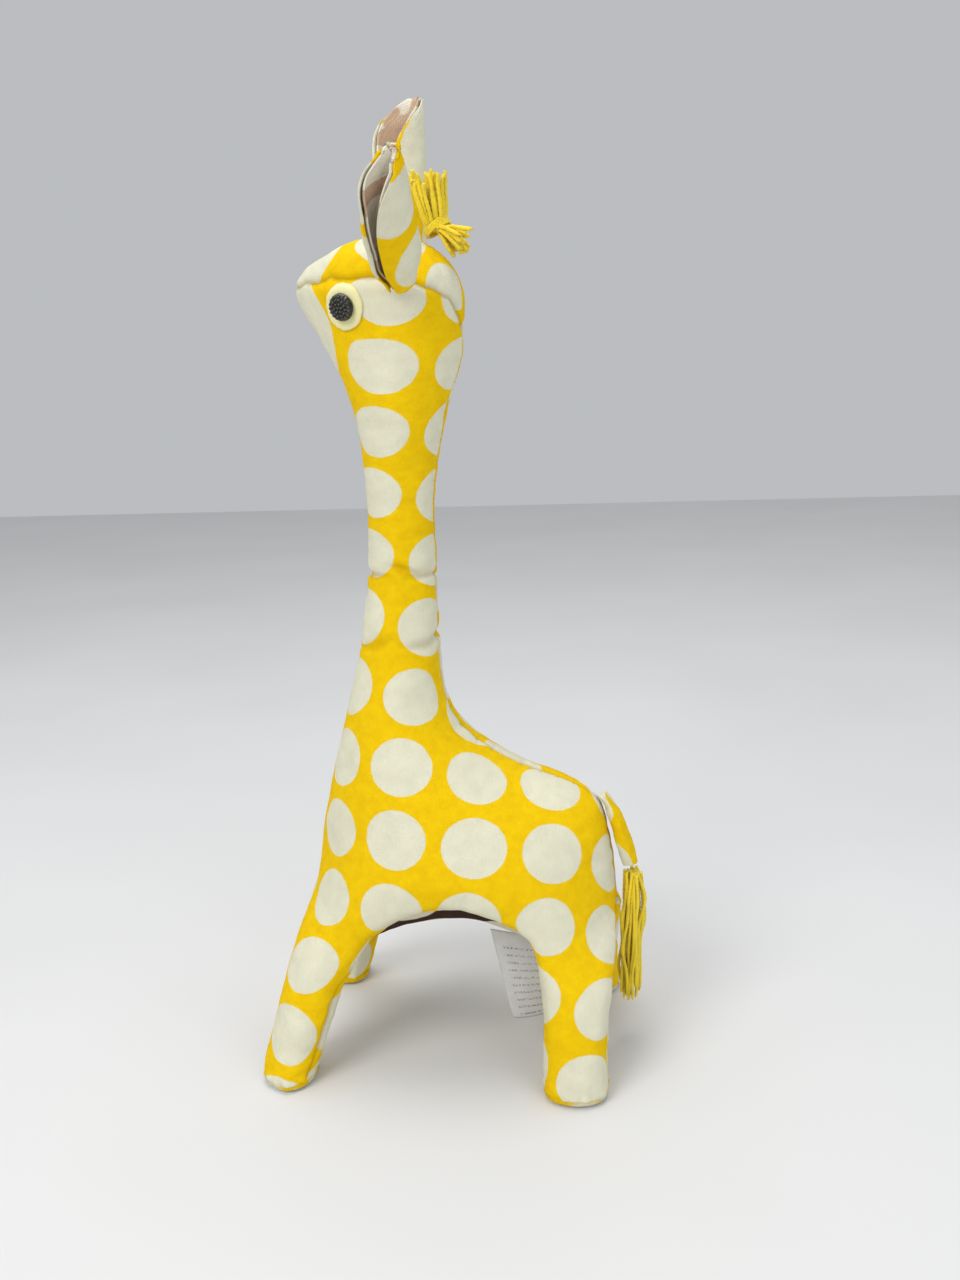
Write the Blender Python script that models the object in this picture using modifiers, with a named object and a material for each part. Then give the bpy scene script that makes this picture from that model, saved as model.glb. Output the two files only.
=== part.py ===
"""A standing stuffed giraffe, sewn from cotton: side panels, gussets and soles over one stuffing.

The pattern is written in millimetres and built in metres. The toy faces -Y, its left side is +X
and +Z is up. A seam is a list of (y, z, x) points on the toy's left side, and the right side
mirrors it. A panel is triangulated flat between its seams and then filled out, as stuffing does.
"""

import math

import bmesh
import bpy
import numpy as np
from mathutils import Matrix, Vector
from mathutils.bvhtree import BVHTree
from mathutils.geometry import delaunay_2d_cdt

MM = 0.001

# Cloth and the room between neighbours
CLOTH = 0.7
SEAM_SETBACK = 1.5
STUFFING_DEPTH = 1.6
GAP = 0.35

# Sampling of the panels
SEAM_PITCH = 5.6
RIM_RING = 2.5
PANEL_PITCH = 6.8
RING_CLEARANCE = 0.86
ROW_CLEARANCE = 0.55
MERGE_STEPS_PER_MM = 50

# The middle of the toy's outer box, which is moved to the origin
BOX_MIDDLE_X = 6.79
BOX_MIDDLE_Y = -10.13

# Feet
FOOT_X = 34.0
FOOT_Z = 1.2
FRONT_TOE_Y = -70.5
FRONT_HEEL_Y = -51.0
REAR_TOE_Y = 18.5
REAR_HEEL_Y = 41.0
SOLE_PITCH = 3.3

# Seams on the centre plane and along the left legs, as (y, z, x)
NOSE = (-53.0, 243.0, 0.0)
NAPE = (-0.5, 229.0, 0.0)
CHEST_FORK = (-56.5, 59.0, 0.0)
RUMP_FORK = (41.5, 50.0, 0.0)
ARCH_FRONT = (-33.5, 44.5, 25.0)
ARCH_REAR = (15.0, 47.0, 25.0)

THROAT = [
    NOSE, (-51.5, 237.5, 0), (-47.5, 230.5, 0), (-43.5, 224.0, 0), (-40.0, 216.5, 0),
    (-37.0, 209.0, 0), (-35.0, 201.0, 0), (-34.2, 188.0, 0), (-34.2, 169.0, 0),
    (-35.2, 154.0, 0), (-37.8, 139.0, 0), (-41.8, 122.0, 0), (-45.8, 107.0, 0),
    (-50.0, 94.0, 0), (-53.0, 82.0, 0), (-55.2, 70.0, 0), CHEST_FORK,
]
FRONT_LEG_FORE = [
    CHEST_FORK, (-58.0, 52.0, 10.0), (-60.0, 44.0, 20.0), (-62.5, 34.0, 26.5),
    (-65.0, 24.0, 29.5), (-67.5, 13.0, 32.0), (FRONT_TOE_Y, FOOT_Z, FOOT_X),
]
FRONT_LEG_HIND = [
    (FRONT_HEEL_Y, FOOT_Z, FOOT_X), (-48.3, 11.0, 32.0), (-45.0, 21.0, 30.0),
    (-40.5, 33.0, 27.5), ARCH_FRONT,
]
ARCH = [
    ARCH_FRONT, (-29.5, 47.5, 24.5), (-24.5, 50.8, 24.0), (-18.0, 54.0, 24.0), (-10.0, 55.8, 24.0),
    (-2.0, 55.0, 24.0), (5.0, 52.3, 24.0), (11.0, 49.5, 24.5), ARCH_REAR,
]
REAR_LEG_FORE = [
    ARCH_REAR, (17.0, 41.5, 26.0), (18.2, 33.0, 27.5), (19.0, 22.0, 30.0), (19.0, 11.0, 32.0),
    (REAR_TOE_Y, FOOT_Z, FOOT_X),
]
REAR_LEG_HIND = [
    (REAR_HEEL_Y, FOOT_Z, FOOT_X), (40.0, 9.0, 32.4), (40.5, 20.0, 30.0), (41.5, 30.0, 26.5),
    (42.2, 38.0, 20.0), (42.2, 44.5, 10.0), RUMP_FORK,
]
BACK = [
    RUMP_FORK, (41.0, 60.0, 0), (40.3, 69.0, 0), (38.8, 78.0, 0), (36.0, 84.5, 0), (30.0, 89.0, 0),
    (21.0, 92.5, 0), (12.0, 95.5, 0), (4.0, 99.8, 0), (-2.5, 104.0, 0), (-7.5, 109.5, 0),
    (-10.5, 117.0, 0), (-12.0, 128.0, 0), (-12.2, 150.0, 0), (-11.8, 170.0, 0), (-10.8, 185.0, 0),
    (-9.0, 197.0, 0), (-6.0, 207.0, 0), (-2.5, 215.5, 0), (-0.5, 222.0, 0), NAPE,
]
CROWN = [
    NAPE, (-2.0, 235.0, 7.0), (-6.0, 239.0, 12.5), (-13.0, 241.8, 16.5), (-22.0, 243.0, 18.0),
    (-32.0, 243.2, 16.5), (-41.0, 243.3, 12.5), (-48.5, 243.3, 6.5), NOSE,
]

# The middle line of the crown's gusset, one point for each of CROWN's
CROWN_TOP = [
    NAPE, (-0.2, 238.0, 0), (-1.5, 246.5, 0), (-9.0, 253.5, 0), (-21.0, 256.5, 0),
    (-33.0, 255.8, 0), (-42.5, 252.5, 0), (-49.8, 247.5, 0), NOSE,
]

# The belly gusset meets the inner legs along these, front and rear
FRONT_LEG_TOP = [CHEST_FORK, (-51.5, 54.0, 7.5), (-44.0, 48.5, 16.5), ARCH_FRONT]
REAR_LEG_TOP = [ARCH_REAR, (24.5, 45.5, 18.0), (34.0, 46.5, 9.0), RUMP_FORK]

# The middle line of the belly gusset, one point for each point of the seam beside it
FRONT_TOP_MIDDLE = [CHEST_FORK, (-51.5, 51.5, 0), (-44.0, 46.0, 0), (-33.5, 43.0, 0)]
ARCH_MIDDLE = [
    (-33.5, 43.0, 0), (-29.5, 42.8, 0), (-24.5, 43.2, 0), (-18.0, 44.3, 0), (-10.0, 45.2, 0),
    (-2.0, 44.8, 0), (5.0, 43.3, 0), (11.0, 42.0, 0), (15.0, 41.6, 0),
]
REAR_TOP_MIDDLE = [(15.0, 41.6, 0), (24.5, 42.2, 0), (34.0, 44.4, 0), RUMP_FORK]

# How far the stuffing fills a panel out, by height: (z, share of a full round)
FULLNESS = [(0.0, 1.0), (50.0, 0.95), (75.0, 0.84), (105.0, 0.95), (205.0, 1.0), (235.0, 0.52), (260.0, 0.5)]
INNER_FULLNESS = [(0.0, 1.0), (25.0, 0.95), (45.0, 0.6), (58.0, 0.3)]

# Eyes
EYE_Y = -31.5
EYE_Z = 235.5
FELT_HALF_Y = 6.0
FELT_HALF_Z = 6.9
FELT_THICKNESS = 1.2
FELT_LIFT = 0.9
BUTTON_RADIUS = 4.1
BUTTON_HEIGHT = 2.4
BUTTON_RIM = 0.7
BUTTON_BASE_SHARE = 0.9
BUTTON_STEPS = 5
BESIDE_HEAD_X = 60.0

# Ears: a leaf rolled about its own length and pinched at its seam
EAR_CLOTH = 0.7
EAR_HALF_WIDTH = 8.0
EAR_HALF_DEPTH = 4.8
EAR_ROLL = math.radians(166)
EAR_TIP_ROLL = math.radians(20)
EAR_OPEN_FROM = 0.36
EAR_PINCH = 0.56
EAR_PINCH_TO = 0.25
EAR_TAPER_POWER = 2.4
EAR_ROWS = 13
EAR_COLUMNS = 16
EARS = {
    "left": {
        "side": 1, "seat": (21.0, -14.0, 241.0), "length": 46.0, "lean": 55.0, "turn": 42.0, "rake": -6.0,
        "flare": -0.22, "mouth": -30.0,
    },
    "right": {
        "side": -1, "seat": (-20.8, -22.5, 245.4), "length": 54.8, "lean": 5.0, "turn": -34.0, "rake": 0.0,
        "flare": 0.35, "mouth": -22.0,
    },
}

# Mane tuft, tail and tassel, as (y, z, half width along X, half depth)
TUFT = [
    (-11.0, 273.2, 4.4, 3.8), (-10.4, 270.2, 6.6, 5.0), (-9.0, 264.4, 6.2, 4.8),
    (-7.6, 259.2, 4.0, 3.0), (-4.2, 256.6, 5.2, 2.8), (-1.0, 253.4, 6.4, 2.6), (1.6, 249.8, 6.8, 1.8),
]
TUFT_BINDING_AT = (-7.6, 259.6)
TUFT_BINDING_TILT = math.radians(33)
TUFT_BINDING_RADII = (5.2, 4.3)
TUFT_BINDING_THICKNESS = 0.5
TUFT_BINDING_HEIGHT = 3.2
TAIL = [
    (37.5, 84.6, 4.0, 0.8), (39.7, 81.4, 4.3, 1.1), (41.8, 77.3, 4.5, 1.7), (43.4, 72.0, 4.4, 2.0),
    (45.0, 66.0, 3.8, 2.2), (46.2, 61.4, 2.6, 1.9),
]
TASSEL = [
    (46.6, 58.8, 2.4, 2.2), (46.6, 54.0, 4.0, 3.4), (46.3, 45.0, 4.6, 3.9), (45.5, 34.0, 4.8, 3.9),
    (45.0, 24.0, 5.2, 3.9), (44.6, 14.8, 5.0, 3.2),
]
TAIL_HINGE = (0.0, 37.4, 85.2)
TASSEL_HINGE = (0.0, 46.4, 60.0)
LOFT_SIDES = 12
LOFT_PITCH = 0.34

# Care label: a satin strip hanging from the belly beside the left rear leg, its sewn edge as (y, z)
LABEL_X = 13.6
LABEL_SEWN = ((1.8, 43.6), (20.8, 41.0))
LABEL_LENGTH = 31.8
LABEL_SLANT = math.radians(11.5)
LABEL_THICKNESS = 0.5

FELT_RINGS = 3
FELT_SPOKES = 22


def smooth_point(points, at):
    """The point at parameter `at` of a smooth curve through the points; whole numbers are the points."""
    last = len(points) - 1
    start = min(int(at), last - 1)
    t = at - start
    p1 = np.array(points[start], float)
    p2 = np.array(points[start + 1], float)
    p0 = np.array(points[start - 1], float) if start > 0 else 2 * p1 - p2
    p3 = np.array(points[start + 2], float) if start + 2 <= last else 2 * p2 - p1
    curve = 2 * p1 + (p2 - p0) * t + (2 * p0 - 5 * p1 + 4 * p2 - p3) * t**2
    return (curve + (3 * p1 - p0 - 3 * p2 + p3) * t**3) / 2


def even_parameters(points, pitch):
    """Parameters that divide the smooth curve into steps of about one pitch."""
    fine = np.linspace(0, len(points) - 1, 24 * (len(points) - 1) + 1)
    places = np.array([smooth_point(points, at) for at in fine])
    along = np.concatenate([[0], np.cumsum(np.linalg.norm(np.diff(places, axis=0), axis=1))])
    steps = max(2, round(along[-1] / pitch))
    return np.interp(np.linspace(0, along[-1], steps + 1), along, fine)


def sampled(points, pitch=SEAM_PITCH):
    return np.array([smooth_point(points, at) for at in even_parameters(points, pitch)])


def straight(start, end, pitch):
    steps = max(2, round(math.dist(start, end) / pitch))
    return np.linspace(start, end, steps + 1)


def edge_distances(point, outline):
    """Distance from a flat point to each side of a closed outline."""
    start = outline
    side = np.roll(outline, -1, axis=0) - start
    share = np.einsum("ij,ij->i", point - start, side) / np.einsum("ij,ij->i", side, side)
    nearest = start + np.clip(share, 0, 1)[:, None] * side
    return np.linalg.norm(nearest - point, axis=1)


def is_inside(point, outline):
    ahead = np.roll(outline, -1, axis=0)
    straddles = (outline[:, 1] > point[1]) != (ahead[:, 1] > point[1])
    rise = np.where(straddles, ahead[:, 1] - outline[:, 1], 1.0)
    crossing = outline[:, 0] + (point[1] - outline[:, 1]) * (ahead[:, 0] - outline[:, 0]) / rise
    return bool(np.count_nonzero(straddles & (point[0] < crossing)) % 2)


def flat_triangles(outline, ring, pitch):
    """Triangulates inside a closed flat outline: (points, triangles), with the outline's points first."""
    outline = np.array(outline, float)
    added = []
    ahead = np.roll(outline, -1, axis=0)
    behind = np.roll(outline, 1, axis=0)
    for point, before, after in zip(outline, behind, ahead):
        side = (after - before) / np.linalg.norm(after - before)
        candidate = point + ring * np.array([-side[1], side[0]])
        clear = edge_distances(candidate, outline).min() > RING_CLEARANCE * ring
        apart = all(np.linalg.norm(candidate - other) > ring for other in added)
        if clear and apart and is_inside(candidate, outline):
            added.append(candidate)
    low = outline.min(axis=0)
    high = outline.max(axis=0)
    row_height = pitch * math.sqrt(3) / 2
    for row in range(int((high[1] - low[1]) / row_height) + 1):
        for column in range(int((high[0] - low[0]) / pitch) + 2):
            candidate = low + np.array([(column + 0.5 * (row % 2)) * pitch, row * row_height])
            if not is_inside(candidate, outline):
                continue
            if edge_distances(candidate, outline).min() > ring + ROW_CLEARANCE * pitch:
                added.append(candidate)
    points = [Vector(p) for p in outline] + [Vector(p) for p in added]
    edges = [(i, (i + 1) % len(outline)) for i in range(len(outline))]
    places, _, faces, origins, _, _ = delaunay_2d_cdt(points, edges, [], 1, 1e-6)
    first = [origin[0] for origin in origins]
    return np.array([p[:] for p in points]), [tuple(first[i] for i in face) for face in faces]


def stiffness(points, triangles):
    """The flat Laplacian of a triangulation, and each point's share of its area."""
    matrix = np.zeros((len(points), len(points)))
    areas = np.zeros(len(points))
    for triangle in triangles:
        corners = points[list(triangle)]
        a, b, c = corners
        double_area = abs((b[0] - a[0]) * (c[1] - a[1]) - (c[0] - a[0]) * (b[1] - a[1]))
        opposite = [c - b, a - c, b - a]
        for i in range(3):
            areas[triangle[i]] += double_area / 6
            for j in range(3):
                matrix[triangle[i], triangle[j]] += opposite[i] @ opposite[j] / (2 * double_area)
    return matrix, areas


def filled_panel(seams, open_edges, fullness, outward):
    """A panel between seams, as (points in x y z, triangles). Seams are fixed, open edges are not."""
    loop = []
    fixed = []
    for name, seam in seams:
        loop.extend(seam[:-1])
        fixed.extend([name not in open_edges] * (len(seam) - 1))
    fixed = [fixed[i] or fixed[i - 1] for i in range(len(fixed))]
    loop = np.array(loop)
    points, triangles = flat_triangles(loop[:, :2], RIM_RING, PANEL_PITCH)
    matrix, areas = stiffness(points, triangles)
    held = np.zeros(len(points), bool)
    held[: len(loop)] = fixed
    free = ~held
    across = np.zeros(len(points))
    across[: len(loop)] = loop[:, 2]
    inner = matrix[np.ix_(free, free)]
    across[free] = np.linalg.solve(inner, -matrix[np.ix_(free, held)] @ across[held])
    swell = np.zeros(len(points))
    swell[free] = np.linalg.solve(inner, areas[free])
    share = np.interp(points[:, 1], [z for z, _ in fullness], [s for _, s in fullness])
    across = across + outward * share * np.sqrt(2 * np.clip(swell, 0, None))
    solid = np.column_stack([across, points[:, 0], points[:, 1]])
    return solid, triangles


def gusset(seam_and_middle):
    """A panel between a left seam and its mirror image, arched through a middle line."""
    seam = []
    middle = []
    for seam_points, middle_points in seam_and_middle:
        for at in even_parameters(seam_points, SEAM_PITCH):
            seam.append(smooth_point(seam_points, at))
            middle.append(smooth_point(middle_points, at))
    keep = [i for i in range(len(seam)) if i == 0 or np.linalg.norm(seam[i] - seam[i - 1]) > 1e-6]
    seam = np.array(seam)[keep]
    middle = np.array(middle)[keep]
    steps = np.linalg.norm(np.diff(seam[:, :2], axis=0), axis=1)
    along = np.concatenate([[0], np.cumsum(steps)])
    left = np.column_stack([along, seam[:, 2]])
    right = np.column_stack([along, -seam[:, 2]])[-2:0:-1]
    outline = np.concatenate([left, right])[::-1]
    points, triangles = flat_triangles(outline, RIM_RING, PANEL_PITCH)
    solid = []
    for s, x in points:
        half = np.interp(s, along, seam[:, 2])
        edge = np.array([np.interp(s, along, seam[:, i]) for i in range(2)])
        crest = np.array([np.interp(s, along, middle[:, i]) for i in range(2)])
        arch = math.sqrt(max(0.0, 1 - (x / half) ** 2)) if half > 1e-6 else 0.0
        place = edge + (crest - edge) * arch
        solid.append((x, place[0], place[1]))
    return np.array(solid), triangles


def mirrored(panel):
    points, triangles = panel
    return points * np.array([-1, 1, 1]), [t[::-1] for t in triangles]


def facing(panel, direction):
    """The panel with its triangles turned so that most of them face along the direction."""
    points, triangles = panel
    total = np.zeros(3)
    for a, b, c in triangles:
        total += np.cross(points[b] - points[a], points[c] - points[a])
    if total @ np.array(direction) < 0:
        triangles = [t[::-1] for t in triangles]
    return points, triangles


def metres(points):
    shift = np.array([BOX_MIDDLE_X, BOX_MIDDLE_Y, 0.0])
    return [tuple((np.array(p) - shift) * MM) for p in points]


def material(name, colour, roughness):
    made = bpy.data.materials.new(name)
    made.use_nodes = True
    shader = made.node_tree.nodes["Principled BSDF"]
    shader.inputs["Base Color"].default_value = (*colour, 1.0)
    shader.inputs["Roughness"].default_value = roughness
    shader.inputs["Metallic"].default_value = 0.0
    made.diffuse_color = (*colour, 1.0)
    return made


def add_object(name, mesh, look, collection, origin=None):
    """Links a mesh as a named object, with its origin at a joint's pivot (in mm) where one is given."""
    mesh.materials.append(look)
    made = bpy.data.objects.new(name, mesh)
    collection.objects.link(made)
    if origin is not None:
        pivot = Vector(metres([origin])[0])
        mesh.transform(Matrix.Translation(-pivot))
        made.location = pivot
    return made


def solidify(target, thickness, offset):
    shell = target.modifiers.new("cloth", "SOLIDIFY")
    shell.thickness = thickness * MM
    shell.offset = offset
    shell.use_rim = True


def panel_mesh(name, panel):
    """A panel as a mesh whose border stands back from the seam, so that neighbours have room."""
    mesh = bpy.data.meshes.new(name)
    mesh.from_pydata(metres(panel[0]), [], panel[1])
    shape = bmesh.new()
    shape.from_mesh(mesh)
    moves = {}
    for vertex in shape.verts:
        if not vertex.is_boundary:
            continue
        inner = [e.other_vert(vertex).co for e in vertex.link_edges if not e.is_boundary]
        rim = [e.other_vert(vertex).co for e in vertex.link_edges if e.is_boundary]
        if inner:
            aim = sum(inner, Vector()) / len(inner) - vertex.co
        else:
            aim = (rim[0] + rim[1]) / 2 - vertex.co
        along = (rim[1] - rim[0]).normalized()
        if inner:
            aim -= aim.dot(along) * along
        moves[vertex] = aim.normalized() * SEAM_SETBACK * MM
    for vertex, move in moves.items():
        vertex.co += move
    shape.to_mesh(mesh)
    shape.free()
    mesh.shade_smooth()
    return mesh


def joined_cover(panels):
    """All panels sewn into one closed surface, as (points in mm, faces)."""
    numbers = {}
    points = []
    faces = []
    for panel_points, panel_faces in panels:
        index = []
        for point in panel_points:
            key = tuple(int(v) for v in np.round(np.array(point) * MERGE_STEPS_PER_MM))
            if key not in numbers:
                numbers[key] = len(points)
                points.append(np.array(point, float))
            index.append(numbers[key])
        faces.extend(tuple(index[i] for i in face) for face in panel_faces)
    return points, faces


def sole_loop(side_panel, inner_panel, toe_y, heel_y):
    """The foot's bottom edge, round the outer half from toe to heel and back round the inner half."""

    def bottom(panel):
        found = []
        for x, y, z in panel[0]:
            if abs(z - FOOT_Z) < 1e-6 and toe_y - 1e-6 < y < heel_y + 1e-6:
                found.append((x, y, z))
        return sorted(found, key=lambda p: p[1])

    outer = bottom(side_panel)
    inner = bottom(inner_panel)
    return outer + inner[-2:0:-1]


def loft_mesh(name, sections):
    """A closed body through oval sections: (y, z, half width along x, half depth), square to the path."""
    stations = [smooth_point(sections, at) for at in np.arange(0, len(sections) - 1 + 1e-9, LOFT_PITCH)]
    stations.append(np.array(sections[-1], float))
    path = np.array([(s[0], s[1]) for s in stations])
    if np.linalg.norm(path[-1] - path[-2]) < 0.5:
        stations.pop(-2)
        path = np.delete(path, -2, axis=0)
    shape = bmesh.new()
    rings = []
    for i, (y, z, half_width, half_depth) in enumerate(stations):
        ahead = path[min(i + 1, len(path) - 1)]
        behind = path[max(i - 1, 0)]
        direction = (ahead - behind) / np.linalg.norm(ahead - behind)
        normal = np.array([direction[1], -direction[0]])
        ring = []
        for k in range(LOFT_SIDES):
            angle = 2 * math.pi * k / LOFT_SIDES
            place = np.array([y, z]) + normal * half_depth * math.sin(angle)
            corner = metres([(half_width * math.cos(angle), place[0], place[1])])[0]
            ring.append(shape.verts.new(corner))
        rings.append(ring)
    for first, second in zip(rings, rings[1:]):
        for k in range(LOFT_SIDES):
            after = (k + 1) % LOFT_SIDES
            shape.faces.new((first[k], first[after], second[after], second[k]))
    shape.faces.new(rings[0][::-1])
    shape.faces.new(rings[-1])
    bmesh.ops.recalc_face_normals(shape, faces=shape.faces)
    mesh = bpy.data.meshes.new(name)
    shape.to_mesh(mesh)
    shape.free()
    mesh.shade_smooth()
    return mesh


def ring_mesh(name, centre, radius_x, radius_y, thickness, tilt):
    """A wrapped thread or band: a flattened ring about a vertical axis, tilted about X."""
    bpy.ops.mesh.primitive_torus_add(
        major_radius=1.0, minor_radius=0.5, major_segments=20, minor_segments=8
    )
    maker = bpy.context.object
    mesh = maker.data.copy()
    bpy.data.objects.remove(maker)
    mesh.name = name
    shape = bmesh.new()
    shape.from_mesh(mesh)
    for vertex in shape.verts:
        angle = math.atan2(vertex.co.y, vertex.co.x)
        proud = math.hypot(vertex.co.x, vertex.co.y) - 1.0
        x = (radius_x + 2 * proud * thickness) * math.cos(angle)
        y = (radius_y + 2 * proud * thickness) * math.sin(angle)
        vertex.co = Vector((x, y, TUFT_BINDING_HEIGHT * vertex.co.z * thickness)) * MM
    shape.transform(Matrix.Rotation(tilt, 4, "X"))
    shape.transform(Matrix.Translation(Vector(metres([(0.0, *centre)])[0])))
    shape.to_mesh(mesh)
    shape.free()
    mesh.shade_smooth()
    return mesh


def ear_mesh(name, ear, inset):
    """One layer of a rolled ear, as an open sheet; the lining's is set in by `inset`."""
    lean = Matrix.Rotation(math.radians(ear["lean"]) * ear["side"], 4, "Y")
    lean = Matrix.Rotation(math.radians(ear["rake"]), 4, "X") @ lean
    turn = Matrix.Rotation(math.radians(ear["turn"]) * ear["side"], 4, "Z")
    seat = Vector(ear["seat"])
    shape = bmesh.new()
    grid = []
    for row in range(EAR_ROWS):
        t = row / (EAR_ROWS - 1)
        pinch = min(1.0, t / EAR_PINCH_TO)
        pinch = EAR_PINCH + (1 - EAR_PINCH) * pinch * pinch * (3 - 2 * pinch)
        beyond = max(0.0, (t - EAR_OPEN_FROM) / (1 - EAR_OPEN_FROM))
        flare = 1 + ear["flare"] * beyond**2
        roll = EAR_ROLL * math.sqrt(max(0.0, 1 - beyond**EAR_TAPER_POWER)) / flare
        roll = min(max(roll, EAR_TIP_ROLL), EAR_ROLL)
        half_depth = pinch * flare * EAR_HALF_DEPTH - inset
        half_width = pinch * flare * EAR_HALF_WIDTH - inset
        back = (flare - 1) * EAR_HALF_WIDTH
        line = []
        for column in range(EAR_COLUMNS):
            angle = roll * (2 * column / (EAR_COLUMNS - 1) - 1) + math.radians(ear["mouth"])
            across = half_depth * math.sin(angle)
            local = Vector((across, half_width * math.cos(angle) - back, t * ear["length"]))
            place = lean @ (turn @ local) + seat
            line.append(shape.verts.new(metres([place])[0]))
        grid.append(line)
    for lower, upper in zip(grid, grid[1:]):
        for k in range(EAR_COLUMNS - 1):
            shape.faces.new((lower[k], lower[k + 1], upper[k + 1], upper[k]))
    bmesh.ops.recalc_face_normals(shape, faces=shape.faces)
    middle = grid[EAR_ROWS // 2][EAR_COLUMNS // 2]
    outward = (lean @ turn).to_3x3() @ Vector((0, 1, 0))
    if middle.link_faces[0].normal.dot(outward) < 0:
        bmesh.ops.reverse_faces(shape, faces=shape.faces)
    mesh = bpy.data.meshes.new(name)
    shape.to_mesh(mesh)
    shape.free()
    mesh.shade_smooth()
    return mesh


def felt_mesh(name, side, surface):
    """An oval of felt that lies on the head's curve, with the point and direction of its middle."""
    toward = Vector((-side, 0, 0))

    def on_head(y, z):
        start = Vector(metres([(side * BESIDE_HEAD_X, y, z)])[0])
        hit, normal, _, _ = surface.ray_cast(start, toward)
        return hit, normal

    _, normal = on_head(EYE_Y, EYE_Z)
    lift = normal * FELT_LIFT * MM
    shape = bmesh.new()
    centre = shape.verts.new(on_head(EYE_Y, EYE_Z)[0] + lift)
    before = None
    for ring in range(1, FELT_RINGS + 1):
        share = ring / FELT_RINGS
        line = []
        for spoke in range(FELT_SPOKES):
            angle = 2 * math.pi * spoke / FELT_SPOKES
            y = EYE_Y + FELT_HALF_Y * share * math.cos(angle)
            z = EYE_Z + FELT_HALF_Z * share * math.sin(angle)
            line.append(shape.verts.new(on_head(y, z)[0] + lift))
        for spoke in range(FELT_SPOKES):
            after = (spoke + 1) % FELT_SPOKES
            if before is None:
                shape.faces.new((centre, line[spoke], line[after]))
            else:
                shape.faces.new((before[spoke], line[spoke], line[after], before[after]))
        before = line
    bmesh.ops.recalc_face_normals(shape, faces=shape.faces)
    if sum((f.normal for f in shape.faces), Vector()).dot(normal) < 0:
        bmesh.ops.reverse_faces(shape, faces=shape.faces)
    mesh = bpy.data.meshes.new(name)
    shape.to_mesh(mesh)
    place = centre.co.copy()
    shape.free()
    mesh.shade_smooth()
    return mesh, place, normal


def button_object(name, place, normal, look, collection):
    """A domed sewn-on button, turned about the head's outward direction."""
    profile = [(0.0, BUTTON_HEIGHT)]
    for step in range(1, BUTTON_STEPS + 1):
        angle = math.pi / 2 * (1 - step / BUTTON_STEPS)
        height = BUTTON_RIM + (BUTTON_HEIGHT - BUTTON_RIM) * math.sin(angle)
        profile.append((BUTTON_RADIUS * math.cos(angle), height))
    profile.append((BUTTON_BASE_SHARE * BUTTON_RADIUS, 0.0))
    profile.append((0.0, 0.0))
    mesh = bpy.data.meshes.new(name)
    mesh.from_pydata(
        [(r * MM, 0.0, z * MM) for r, z in profile], [(i, i + 1) for i in range(len(profile) - 1)], []
    )
    made = add_object(name, mesh, look, collection)
    turned = made.modifiers.new("turned", "SCREW")
    turned.angle = 2 * math.pi
    turned.steps = 24
    turned.render_steps = 24
    turned.use_merge_vertices = True
    turned.merge_threshold = 0.00001
    turned.use_smooth_shade = True
    base = place + normal * (FELT_THICKNESS + GAP) * MM
    made.matrix_world = Matrix.Translation(base) @ normal.to_track_quat("Z", "Y").to_matrix().to_4x4()
    return made


def label_mesh(name):
    """A thin strip of satin hanging from its sewn edge, slanted to the rear and cut square below."""
    front = Vector((LABEL_X, *LABEL_SEWN[0]))
    rear = Vector((LABEL_X, *LABEL_SEWN[1]))
    down = Vector((0, math.sin(LABEL_SLANT), -math.cos(LABEL_SLANT)))
    across = Vector((0, math.cos(LABEL_SLANT), math.sin(LABEL_SLANT)))
    low_front = front + down * LABEL_LENGTH
    low_rear = low_front + across * (rear - front).dot(across)
    mesh = bpy.data.meshes.new(name)
    mesh.from_pydata(metres([front, low_front, low_rear, rear]), [], [(0, 1, 2, 3)])
    return mesh


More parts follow.
